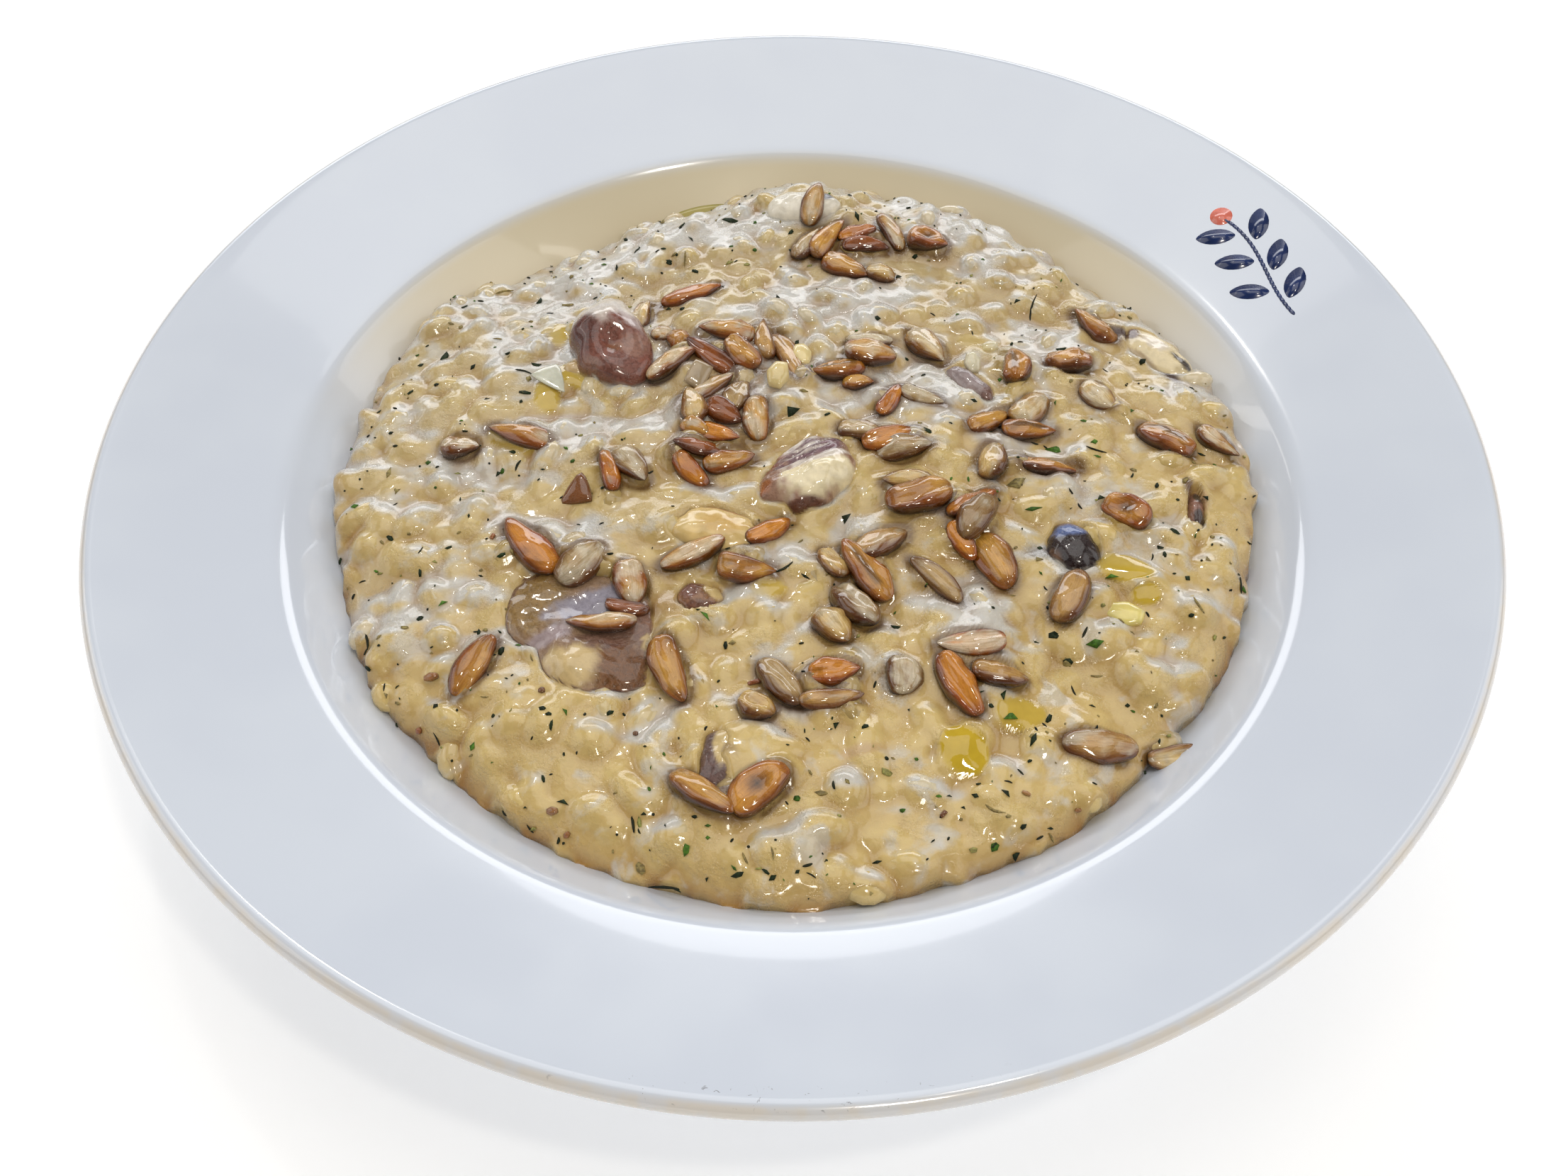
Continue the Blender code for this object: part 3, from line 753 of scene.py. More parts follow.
# %% A map of all the tops
rest = skin.copy()
for name, piece in MUSHROOMS.items():
    part, along, across = part_of_map(piece.x, piece.y, piece.turn, max(piece.length, piece.width) * 0.6)
    out = mushroom_outline(name, along, across)
    rest[part] = np.maximum(rest[part], np.where(out < 1, mushroom_top(name, out), -99))
ground = blurred(rest, 0.8)
print("the highest ground lies at", round(float(ground.max()), 1), "mm")

# %% [markdown]
# ## Bedding the kernels
# A kernel that falls on soft rice tilts with the ground and sinks by about a third. Where kernels
# overlap, the later one rests on the earlier. It is fitted to the ground as a stick is, by its two
# ends and two sides. The cream rises to a low lip round it, is painted dark brown where it touches
# as a contact shadow, and is painted a little darker beside it as shade.

# %% Rest each kernel on what lies below it
KERNEL_THICKNESS = 0.68  # of its width
KERNEL_LIP = 0.25
contact_shadow, shaded = np.zeros_like(skin), np.zeros_like(skin)
kernel_places = []
chance = np.random.default_rng(5)


def ends_of(x, y, way, reach):
    """The ground's height at both ends of a stick that lies across a place."""
    return (height_at(ground, x + way.x * r, y + way.y * r) for r in (reach, -reach))


for sheet_x, sheet_y, heading, length, width, tone, coat in KERNELS:
    x, y = drop_to_skin(sheet_x, sheet_y, lift=1.0)
    ahead = Vector((math.cos(math.radians(heading)), math.sin(math.radians(heading)), 0))
    aside = Vector((-ahead.y, ahead.x, 0))
    tall = width * KERNEL_THICKNESS * chance.uniform(0.85, 1.1)
    tip, blunt = ends_of(x, y, ahead, 0.3 * length)
    left, right = ends_of(x, y, aside, 0.3 * width)
    pitch = math.atan2(tip - blunt, 0.6 * length) * 0.7 + math.radians(chance.uniform(-7, 9))
    roll = math.atan2(left - right, 0.6 * width) * 0.5 + math.radians(chance.uniform(-22, 22))
    z = (tip + blunt + left + right + 2 * height_at(ground, x, y)) / 6 + tall * chance.uniform(0.12, 0.26)
    kernel_places.append((Vector((x, y, z)), heading, pitch, roll, tall))
    part, along, across = part_of_map(x, y, heading, length * 0.6)
    spread = (along / (length / 2)) ** 2 + (across / (width / 2)) ** 2
    top = z + along * math.tan(pitch) + tall / 2 * np.sqrt(np.clip(1 - spread, 0, 1))
    ground[part] = np.where(spread < 0.9, np.maximum(ground[part], top - 0.3), ground[part])
    gap = (np.sqrt(spread) - 1) * width / 2
    touch = (z - skin[part] < 1.8) & (rest[part] - skin[part] < 0.4)
    skin[part] += KERNEL_LIP * np.exp(-(((gap - 0.5) / 0.6) ** 2)) * touch
    # painted contact shadow: a thin dark ring where the kernel meets the cream
    contact_shadow[part] = np.maximum(contact_shadow[part], np.exp(-(((gap - 0.1) / 0.5) ** 2)) * touch)
    # painted shade: a soft darker band round the kernel
    shaded[part] = np.maximum(shaded[part], np.exp(-((np.maximum(gap, 0) / 1.0) ** 2)))
print("the highest kernel lies at", round(max(place.z for place, *_ in kernel_places), 1), "mm")

# %% [markdown]
# ## Oil on the rice
# The oil has gathered in some shallow pools, where it is smooth, yellow-green and shines like a
# mirror. In the map, a pool is a very low dome that hides the grain under it.

# %% The pools, on the same level sheet
POOLS = (  # place, reach across X and Y, turn, strength of the colour
    (26, -63, 4.2, 4.6, 20, 1.0), (35, -56.5, 4.6, 3.2, 10, 0.75), (54.5, -27.5, 5.2, 2.8, -20, 0.95),
    (57.5, -33, 2.6, 2.0, 0, 0.9), (-4, -31.5, 3.4, 1.8, 5, 0.6), (3, -32, 2.4, 1.2, 0, 0.5),
    (-43, 27, 2.2, 3.4, 0, 0.8), (-39.5, 17.5, 4.4, 2.2, -38, 0.8), (-44, 12, 2.6, 4.2, 12, 0.8),
    (33, 26, 3.0, 1.8, 0, 0.25), (40.5, 20.5, 4.4, 6.2, 0, 0.35), (-48, 0.5, 6.5, 3.2, -20, 0.45),
    (-34, -8, 5.0, 3.5, 0, 0.2), (56.5, -16, 6.2, 4.4, -40, 0.3),
)
POOL_DOME = 0.13  # its height beside its reach
oil_share = np.zeros_like(skin)
level_skin = blurred(skin, 2.2)
for sheet_x, sheet_y, reach_x, reach_y, turn, strength in POOLS:
    x, y = drop_to_skin(sheet_x, sheet_y)
    part, along, across = part_of_map(x, y, turn, 1.6 * max(reach_x, reach_y))
    wander = 0.10 * cloud(MAP_X[part], MAP_Y[part], 3.4, 31)
    out = np.hypot(along / reach_x, across / reach_y) + wander
    share = 1 - smooth_step(0.82, 1.0, out)
    dome = level_skin[part] + POOL_DOME * min(reach_x, reach_y) * np.clip(1 - out**2, 0, 1)
    skin[part] = skin[part] * (1 - share) + dome * share
    oil_share[part] = np.maximum(oil_share[part], share * strength)
    rice_share[part] *= 1 - share
print(len(POOLS), "pools of oil")

# %% [markdown]
# ## Painting the cream
# The risotto isn't one colour. Where the cream has foamed it is almost white, and over the grains
# it is a warm translucent tan. The creases, the slopes that face the diner and the heap's edge are
# painted darker as painted shade, and the slopes that face the window are painted whiter as
# painted sheen. It is whiter on the far side of the plate, partly foam and partly painted sheen,
# and more golden on the near side. The colour is worked out on the same map as the height, so that
# every tint follows a real form.

# %% Where the cream is foamy, creased or thin, and where it gets painted sheen
def blend_paint(under, over, share):
    """A painted colour, covered by another one as far as share says."""
    return under + (over - under) * np.clip(share, 0, 1)[..., None]


flow = 3.0 * cloud(MAP_X, MAP_Y, 14, 41)
far_side = smooth_step(-60, 70, MAP_Y - 0.3 * MAP_X)
facing_far = np.clip(-2.0 * np.gradient(blurred(skin, 0.7), MAP_STEP, axis=0), -1, 1)
torn = cloud(MAP_X + flow, MAP_Y + 0.5 * flow, 1.8, 45, 3, 1.8)
foam_and_sheen = cloud(MAP_X + flow, MAP_Y + 0.6 * flow, 7.5, 43, 3, 1.4) + 0.35 * cloud(MAP_X, MAP_Y, 17, 44)
# painted sheen: slopes that face the window are whitened along with the foam
foam_and_sheen = foam_and_sheen + 0.28 * torn + 0.8 * facing_far
near_left = np.exp(-(((MAP_X + 50) / 22) ** 2) - ((MAP_Y + 48) / 26) ** 2)
foam_and_sheen += 0.22 * near_left  # there is more of it at the near left
# the far side is whitened too, partly as painted sheen
foam_and_sheen_share = smooth_step(-0.05, 0.75, 1.15 * foam_and_sheen + 0.52 * far_side - 0.22)
crease = np.clip((blurred(skin, 1.3) - skin) / 0.6, 0, 1)
near_edge = 1 - smooth_step(0.5, 4.0, inside_edge(MAP_X, MAP_Y))
# this share counts the painted sheen together with the foam
foam_and_sheen_part = float(foam_and_sheen_share[inside_edge(MAP_X, MAP_Y) > 0].mean())
print("about", round(100 * foam_and_sheen_part), "% of the cream is pale foam")

# %% [markdown]
# ## Stains, painted shade and the last coats
# The coats are laid on one by one: tan cream, rice, foam with painted sheen, painted shade in the
# creases, the painted shade and painted contact shadow beside the kernels, juice that has run out
# of the mushrooms with some painted shade beside the large caps, and last the oil.

# %% Paint the map
FOAM_AND_SHEEN_WHITE, CREAM_TAN = srgb(202, 201, 197), srgb(207, 180, 119)
CREAM_FAR, CREAM_SHADE = srgb(191, 172, 130), srgb(156, 114, 54)
RICE_TONE, OIL_TONE, CONTACT_SHADOW_BROWN = srgb(211, 186, 120), srgb(196, 164, 0), srgb(78, 42, 12)
# Most of these are juice from the mushrooms; a few brown ones beside the two large caps on the left are
# painted shade.
STAINS_AND_SHADE = (  # place on the level sheet, reach each way, slant, colour, strength
    (42.3, -24.4, 4.8, 1.9, 10, (56, 34, 30), 1.0), (68, -9.5, 1.0, 3.4, 0, (84, 52, 44), 0.9),
    (68.2, -18.6, 0.9, 2.8, 0, (52, 30, 24), 0.95), (69.6, -12.5, 1.8, 2.6, 0, (160, 116, 92), 0.7),
    (61, 28.5, 2.6, 1.5, -20, (70, 48, 50), 0.95), (68.5, 17, 3.6, 1.4, -50, (64, 44, 42), 0.95),
    (-34, 16.5, 7.0, 1.6, -12, (168, 118, 84), 0.7), (-24, 19, 2.4, 3.2, 40, (120, 92, 78), 0.5),
    (-20.5, -35, 3.4, 4.4, 0, (150, 112, 66), 0.6), (-10, -62.5, 3.0, 1.2, -40, (120, 92, 72), 0.5),
    (0, -12, 6.5, 1.2, 14, (140, 104, 66), 0.5), (5.5, 67, 3.0, 1.6, 0, (92, 90, 104), 0.6),
    (10, -63, 5.0, 1.3, 8, (186, 152, 124), 0.5),
)
# painted shade: creases, the heap's edge and the slopes that face the diner are painted darker
painted_shade_share = (0.6 + 0.15 * far_side) * crease + 0.28 * near_edge + 0.14 * np.maximum(-facing_far, 0)
paint_map = np.broadcast_to(CREAM_TAN, (*skin.shape, 3))
# the deep cream colour is painted shade, in the creases and beside the kernels, and the browned colour is a
# painted contact shadow where the kernels touch the cream
for coat_colour, coat_share in (
        (CREAM_FAR, far_side), (RICE_TONE, (0.6 - 0.3 * far_side) * rice_share),
        (FOAM_AND_SHEEN_WHITE, 0.86 * foam_and_sheen_share), (CREAM_SHADE, painted_shade_share),
        (CREAM_SHADE, 0.38 * blurred(shaded, 0.4)), (CONTACT_SHADOW_BROWN, 0.85 * blurred(contact_shadow, 0.3))):
    paint_map = blend_paint(paint_map, coat_colour, coat_share)
for sheet_x, sheet_y, reach_x, reach_y, slant, colour, strength in STAINS_AND_SHADE:
    x, y = drop_to_skin(sheet_x, sheet_y)
    part, along, across = part_of_map(x, y, slant, 1.6 * max(reach_x, reach_y))
    out = np.hypot(along / reach_x, across / reach_y) + 0.2 * torn[part]
    # each stain is painted over the cream; those beside the large caps stand for shade
    stain_and_shade_share = strength * (1 - smooth_step(0.3, 1.2, out))
    paint_map[part] = blend_paint(paint_map[part], srgb(*colour), stain_and_shade_share)
paint_map = blend_paint(paint_map, OIL_TONE, 0.85 * oil_share)
print(len(STAINS_AND_SHADE), "stains of mushroom juice are painted in")

# %% [markdown]
# ## Meshing the core of the heap
# A square grid of faces is wrapped onto a disc, which keeps the faces of almost one size, where
# a spun disc would crowd them in the middle. Each point is then lifted to the map. The rim of
# the disc is extruded down along the plate's wall in rings and capped, so the core is a closed
# solid that touches the plate all round.

# %% Wrap a grid onto the heap
HEAP_CELLS = 288
UNDER_RINGS = (0.93, 0.87, 0.81, 0.75, 0.69)  # the radii of the rings below, beside the heap's own
UNDER_GAP = 0.3
EDGE_SINK = 0.12


def ragged_edge(x, y):
    """The heap's edge with the unevenness that grains give it."""
    angle = np.degrees(np.arctan2(y, x))
    across = HEAP_RADIUS / np.maximum(np.hypot(x, y), 1e-6)
    return edge_radius(angle) + 0.75 * cloud(x * across, y * across, 3.6, 51) - 0.2


def core_form():
    """The closed core: a square grid on a disc, lifted to the map, with rings down along the well."""
    form = bmesh.new()
    bmesh.ops.create_grid(form, x_segments=HEAP_CELLS, y_segments=HEAP_CELLS, size=1.0)
    a, b = np.array([vert.co[:2] for vert in form.verts]).T
    wide = np.abs(a) > np.abs(b)
    ring = np.where(wide, a, b)
    with np.errstate(divide="ignore", invalid="ignore"):
        turn = np.where(wide, math.pi / 4 * b / a, math.pi / 2 - math.pi / 4 * a / b)
    turn = np.nan_to_num(turn)
    x, y = ring * np.cos(turn), ring * np.sin(turn)
    ring = np.hypot(x, y)
    reach = ragged_edge(x, y) * (1 + 0.08 * np.sin(math.pi * ring) / np.maximum(ring, 1e-6))
    x, y = x * reach, y * reach
    radius = np.hypot(x, y)
    closing = (GAP + EDGE_SINK) * np.exp(-np.maximum(inside_edge(x, y), 0) / 1.0)
    z = np.maximum(read_map(skin, x, y) - closing, well_height(radius) - EDGE_SINK)
    z = np.where(ring > 0.9999, well_height(radius) - EDGE_SINK, z)
    place_points(form, np.stack([x, y, z], 1))
    rim = [edge for edge in form.edges if edge.is_boundary]
    for share in UNDER_RINGS:
        grown = bmesh.ops.extrude_edge_only(form, edges=rim)["geom"]
        for vert in (item for item in grown if isinstance(item, bmesh.types.BMVert)):
            first = Vector((vert.co.x, vert.co.y, 0)).normalized()
            radius = share * HEAP_RADIUS
            vert.co = Vector((first.x * radius, first.y * radius, float(well_height(radius)) + UNDER_GAP))
        rim = [item for item in grown if isinstance(item, bmesh.types.BMEdge)]
    bmesh.ops.contextual_create(form, geom=rim)
    bmesh.ops.recalc_face_normals(form, faces=form.faces)
    return form


core = core_form()
print("the core has", len(core.verts), "points")

# %% [markdown]
# ## The wet, creamy finish
# Three things make cooked rice look wet: a smooth clear film over a duller body, very small bumps
# that break the highlights into sparkles, and a little light that travels under the surface. The
# painted colour comes from the map, and the nodes add detail that is finer than the mesh.

# %% The risotto's finish
def creamy_finish(name, film=0.62, gloss=0.24, fine_depth=0.15):
    """Cream under a clear film, dull or oily as painted, with bumps of some depth in mm."""
    material, tree, shader = new_finish(
        name, Coat_Weight=film, Coat_Roughness=0.05, Subsurface_Weight=0.12,
        Subsurface_Radius=(1.6, 1.1, 0.6), Subsurface_Scale=MM, IOR=1.42)
    where = object_place(tree)
    paint, oil = painted(tree, "paint"), painted(tree, "oil", "Fac")
    speck = grain_noise(tree, where, 1.6, 3, 0.4)
    curd = grain_noise(tree, where, 0.55, 2, 0.4)
    speckled = remap(tree, speck, 0.3, 0.7, 0, 1)
    body = mottled(tree, speckled, paint, (0.96, 0.95, 0.935), (1.03, 1.03, 1.035))
    foam_streak = grain_noise(tree, where, 6.5, 6, 0.4)
    dry = sum_of(tree, "SUBTRACT", 1.0, oil)
    pale = sum_of(tree, "MULTIPLY", remap(tree, foam_streak, 0.55, 0.68, 0, 0.5), dry)
    body = mix_colours(tree, pale, body, (*FOAM_AND_SHEEN_WHITE, 1))
    tree.links.new(body, shader.inputs["Base Color"])
    rough = remap(tree, speck, 0.35, 0.65, gloss - 0.1, gloss + 0.12)
    rough = sum_of(tree, "MULTIPLY", rough, remap(tree, oil, 0.1, 0.6, 1.0, 0.12))
    tree.links.new(rough, shader.inputs["Roughness"])
    patches = remap(tree, grain_noise(tree, where, 6.0, 2), 0.48, 0.60, 0.10, 1.8)
    height = sum_of(tree, "ADD", speck, sum_of(tree, "MULTIPLY", curd, patches))
    height = sum_of(tree, "MULTIPLY", height, remap(tree, oil, 0.05, 0.5, 1.0, 0.06))
    add_bump(tree, shader, height, fine_depth)
    return material


def marks_at(x, y):
    """The map's colour and oil at some places."""
    paint = np.stack([read_map(paint_map[..., band], x, y) for band in range(3)], 1)
    return {"paint": paint, "oil": read_map(oil_share, x, y)}


core_x, core_y = np.array([vert.co[:2] for vert in core.verts]).T
creamy = creamy_finish("creamy_rice")
heap = finish_piece("risotto_core", core, creamy, marks_at(core_x, core_y))
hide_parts("risotto")

# %% [markdown]
# ## Many small things in one mesh
# Loose grains, kernels and herb flecks are many, so each kind is one mesh. A small form is made
# with bmesh, moved to its place, and poured into the mesh of its kind. The colours painted on
# its points are gathered in the same order and written once at the end. A small thing lies square
# to the slope under it, which is read from the map.

# %% Pour small forms into one mesh
class Gathering:
    """Small forms of one kind on their way into one mesh."""

    def __init__(self):
        self.form = bmesh.new()
        self.marks = {}

    def pour(self, form, place, marks):
        """Moves a small bmesh to its place and adds it, with its marks."""
        bmesh.ops.transform(form, matrix=place, verts=form.verts)
        small = bpy.data.meshes.new("small")
        form.to_mesh(small)
        form.free()
        self.form.from_mesh(small)
        bpy.data.meshes.remove(small)
        for mark, values in marks.items():
            self.marks.setdefault(mark, []).append(np.asarray(values, dtype=np.float32))

    def finish(self, name, material, slot):
        """Makes the mesh of the whole kind, with all its marks."""
        marks = {mark: np.concatenate(values) for mark, values in self.marks.items()}
        return finish_piece(name, self.form, material, marks)


def slope_at(field, x, y, step=1.0):
    """The upward normal of a map at a place."""
    dx = float(read_map(field, x + step, y) - read_map(field, x - step, y)) / (2 * step)
    dy = float(read_map(field, x, y + step) - read_map(field, x, y - step)) / (2 * step)
    return Vector((-dx, -dy, 1)).normalized()


def lying(x, y, z, up, heading, pitch=0.0, roll=0.0):
    """The place of a small thing: it lies square to `up`, its length points along heading."""
    turn = Vector((0, 0, 1)).rotation_difference(up).to_matrix().to_4x4()
    spun = Matrix.Rotation(math.radians(heading), 4, "Z")
    tipped = Matrix.Rotation(-pitch, 4, "Y") @ Matrix.Rotation(roll, 4, "X")
    return Matrix.Translation((x, y, z)) @ turn @ spun @ tipped


smooth_skin = blurred(skin, 1.6)
lean = slope_at(smooth_skin, 0, 0).angle(Vector((0, 0, 1)))
print("in the middle, the heap leans by", round(math.degrees(lean), 1), "degrees")

# %% [markdown]
# ## Loose grains of rice
# The proudest grains break through the cream. Each is a small plump ball, drawn long and a
# little bent, that sits on the mound already raised for it and shows only its back. It takes
# most of its colour from the cream round it.

# %% Grains that stand out of the cream
def plump_grain(length, width, bend):
    """A ball drawn long, a little thinner towards its ends and a little bent."""
    form = bmesh.new()
    bmesh.ops.create_uvsphere(form, u_segments=8, v_segments=6, radius=1.0)
    for vert in form.verts:
        side, up, along = vert.co
        full = 1 - 0.12 * along**2
        aside = side * full * width / 2 + bend * (1 - along**2)
        vert.co = (along * length / 2, aside, up * full * width * 0.42)
    return form


GRAIN_SHARE = 0.86  # how much of a mound's length and width its grain takes
loose = Gathering()
chance = np.random.default_rng(33)
for x, y, turn, length, width, proud in grains:
    hidden = proud < 1.15 - 0.5 * float(smooth_step(0, 60, y)) or height_at(rice_share, x, y) < 0.35
    if hidden or float(inside_edge(x, y)) < 1.0:
        continue
    top = height_at(skin, x, y) + chance.uniform(-0.1, 0.12)
    tint = marks_at(np.array([x]), np.array([y]))["paint"][0]
    tint = (0.55 * tint + 0.45 * RICE_TONE) * chance.uniform(0.97, 1.07)
    place = lying(x, y, top - 0.40 * width * GRAIN_SHARE, slope_at(smooth_skin, x, y), turn)
    grain = plump_grain(length * GRAIN_SHARE, width * GRAIN_SHARE, chance.uniform(-0.3, 0.3))
    points = len(grain.verts)
    loose.pour(grain, place, {"paint": np.tile(tint, (points, 1)), "oil": np.zeros(points)})
wet_rice = creamy_finish("wet_rice", film=0.8, gloss=0.2, fine_depth=0.05)
loose.finish("rice_grains", wet_rice, "rice")
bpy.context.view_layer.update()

# %% [markdown]
# ## Sunflower kernels
# A hulled kernel is a flat drop: blunt at one end, widest a third of the way along, and drawn out
# to a point. Toasting browns the edges and the tip first. The shape starts from a ball whose poles
# are the two ends: one curve sets its width along its length, and a crease and a slight bend make
# each one its own.

# %% The kernel's shape
def kernel_form(length, width, tall, dice, hollow=0.0):
    """A drop with its tip along +X. Also returns where each point lies: along, aside and up."""
    form = bmesh.new()
    bmesh.ops.create_uvsphere(form, u_segments=24, v_segments=16, radius=1.0)
    side, up, along = np.array([vert.co[:] for vert in form.verts]).T
    around = np.maximum(np.hypot(side, up), 1e-9)
    side, up = side / around, up / around
    bend, ridge, crease = dice.uniform(-0.7, 0.7), dice.uniform(-0.5, 0.5), dice.uniform(-0.14, 0.24)
    shift, blunt, drawn = dice.uniform(0, 50), dice.uniform(0.28, 0.46), dice.uniform(0.26, 0.85)
    peak = (blunt / (blunt + drawn)) ** blunt * (drawn / (blunt + drawn)) ** drawn
    share = (along + 1) / 2
    fat = np.clip(share, 0, 1) ** blunt * np.clip(1 - share, 0, 1) ** drawn / peak
    fat = fat * (1 + 0.10 * cloud(1.9 * along + shift, 1.2 * side + 0.8 * up, 1.0, 83, 2))
    z = np.sign(up) * np.abs(up) ** 0.74 * fat * tall / 2
    dimple = crease * np.exp(-(((side - ridge - 0.3 * along) / 0.24) ** 2)) * fat
    dimple = dimple + hollow * np.exp(-((along + 0.1) ** 2 / 0.16 + side**2 / 0.25))
    dimple = dimple + 0.09 * cloud(3.2 * along, 2.2 * side + shift, 1.0, 84, 2) * fat
    z = z - np.where(up > 0, dimple, 0) * tall
    place_points(form, np.stack([along * length / 2, side * fat * width / 2 + bend * (1 - along**2), z], 1))
    return form, np.stack([along, side, up], 1)


trial, _ = kernel_form(10, 5, 3.4, np.random.default_rng(1))
print("a kernel has", len(trial.verts), "points and", len(trial.faces), "faces")
trial.free()

# %% [markdown]
# ## Toasting the kernels
# Each kernel is painted from its own tone, browner at the edges, the tip and the blunt end. Some
# carry a dark stripe or a dark hollow, and cream clings to the tops of others. The underside and
# the outline are painted darkest, as painted shade.

# %% The kernels' tones and their painting
TONES = {  # the middle of the kernel, and its edges
    "gold": (srgb(204, 152, 66), srgb(142, 76, 12)), "tan": (srgb(192, 150, 86), srgb(124, 74, 22)),
    "orange": (srgb(206, 134, 38), srgb(146, 70, 8)), "russet": (srgb(150, 82, 26), srgb(88, 40, 8)),
    "grey": (srgb(182, 152, 102), srgb(110, 72, 30)), "pale": (srgb(214, 182, 116), srgb(142, 92, 30)),
    "striped": (srgb(204, 146, 60), srgb(146, 76, 12)), "ringed": (srgb(208, 146, 54), srgb(152, 78, 10)),
}
# the toasted brown serves real toasted patches and the painted shade along the outline; the scorched colour
# serves real dark stripes and hollows and the painted shade of the underside
TOASTED_AND_OUTLINE_SHADE, SCORCHED_AND_SHADE, CLINGING = srgb(84, 40, 4), srgb(30, 12, 0), srgb(222, 212, 188)


def kernel_paint(spots, tone, coat, dice):
    """The colour of each point of a kernel, laid on in coats from its tone to the cream on top, with painted
    shade along its outline and under it.
    """
    along, side, up = spots.T
    middle, rim = TONES[tone]
    paint = np.tile(middle * dice.uniform(0.92, 1.08), (len(spots), 1))
    mottle = cloud(along * 3, side * 2 + up, 1.0, int(dice.integers(1, 999)), 2)
    flush = cloud(along * 1.2 + 9, side + up, 1.0, int(dice.integers(1, 999)), 2)
    sides = smooth_step(0.4, 0.95, np.abs(side))
    ends = 0.8 * smooth_step(0.55, 0.9, along) + 0.5 * smooth_step(0.75, 1.0, -along)
    paint = blend_paint(paint, rim, 0.55 * smooth_step(-0.2, 0.8, flush) + 0.85 * sides)
    paint = blend_paint(paint, rim, ends)
    paint = blend_paint(paint, TOASTED_AND_OUTLINE_SHADE, 0.5 * smooth_step(0.2, 1.0, mottle + 0.8 * np.abs(along) - 0.3))
    # painted shade: a dark outline band along both sides
    paint = blend_paint(paint, TOASTED_AND_OUTLINE_SHADE, 0.8 * smooth_step(0.78, 0.97, np.abs(side) + 0.08 * mottle))
    if tone == "striped":
        stripe = np.exp(-(((side - 0.15) / 0.28) ** 2)) * (1 - smooth_step(0.5, 0.8, np.abs(along)))
        paint = blend_paint(paint, SCORCHED_AND_SHADE, 0.85 * stripe * (up > 0))
    if tone == "ringed":
        hollow = np.exp(-(along**2 / 0.10 + side**2 / 0.16)) * (up > 0)
        paint = blend_paint(paint, SCORCHED_AND_SHADE, 0.9 * hollow)
    cling = smooth_step(0.35, 0.75, up + 0.45 * mottle + 1.3 * coat - 1.0) * (0.35 + 0.65 * coat)
    paint = blend_paint(paint, CLINGING, 0.8 * cling * (coat > 0))
    # painted shade: the underside is painted near black
    return blend_paint(paint, SCORCHED_AND_SHADE, 0.9 * smooth_step(0.25, -0.25, up + 0.12 * mottle))


print("the kernels come in", len(TONES), "tones")

# %% [markdown]
# ## The toasted finish
# A toasted kernel has fine fibres from end to end and shines with oil. The fibres are drawn by
# nodes that read each point's place along and across its own kernel, stretched along it, so that
# the streaks run the right way however the kernel lies.

# %% Finish and pour the kernels
def kernel_finish():
    """Oily, streaked along the fibres and slightly wrinkled."""
    material, tree, shader = new_finish("toasted_kernel", Coat_Weight=1.0, Coat_Roughness=0.08, Coat_IOR=1.6,
                                        Specular_IOR_Level=0.25, Subsurface_Weight=0.08,
                                        Subsurface_Radius=(1.2, 0.6, 0.25), Subsurface_Scale=MM)
    fibre = add_node(tree, "Mapping", {"Vector": painted(tree, "fibre", "Vector"), "Scale": (0.35, 3.2, 3.2)})
    noise = add_node(tree, "TexNoise", {"Vector": fibre.outputs[0], "Scale": 1.0, "Detail": 4.0})
    streaks = noise.outputs["Fac"]
    streaky = remap(tree, streaks, 0.3, 0.7, 0, 1)
    body = mottled(tree, streaky, painted(tree, "paint"), (0.86, 0.82, 0.74), (1.08, 1.08, 1.06))
    tree.links.new(body, shader.inputs["Base Color"])
    tree.links.new(remap(tree, streaks, 0.3, 0.7, 0.20, 0.40), shader.inputs["Roughness"])
    wrinkles = grain_noise(tree, object_place(tree), 1.7, 3, 1.0)
    add_bump(tree, shader, sum_of(tree, "ADD", sum_of(tree, "MULTIPLY", streaks, 0.4), wrinkles), 0.34)
    return material


kernel_mesh = Gathering()
for resting, (_, _, _, length, width, tone, coat) in zip(kernel_places, KERNELS):
    place, heading, pitch, roll, tall = resting
    dice = np.random.default_rng(int(1000 + abs(place.x) * 37 + abs(place.y) * 91))
    form, spots = kernel_form(length, width, tall, dice, 0.3 if tone == "ringed" else 0.0)
    fibre = np.stack([spots[:, 0] * length / 2, spots[:, 1] * width / 2, spots[:, 2] * tall / 2], 1)
    fibre += dice.uniform(0, 40, 3)
    marks = {"paint": kernel_paint(spots, tone, coat, dice), "fibre": fibre}
    kernel_mesh.pour(form, lying(*place, Vector((0, 0, 1)), heading, pitch, roll), marks)
toasted = kernel_finish()
kernel_mesh.finish("sunflower_kernels", toasted, "kernel")

# %% [markdown]
# ## Modelling the mushroom pieces
# Cooked mushroom is soft and irregular: a cap with a dull skin, a slice with its gills, a crumbled
# edge. Each piece starts from a fine ball that is pressed to its sizes and its outline. It then
# gets its dents, small wrinkles from soft noise, and rows of gills where it shows them.

# %% Shape a mushroom piece
GILLED = {"mushroom_slice_middle": (-1.5, 3.2, 6.5, 3.6)}  # place and reach of the gills
GILL_SPACING = 1.35
LONG_PIECE = 18  # from this length on, a piece is made of a ball twice as fine


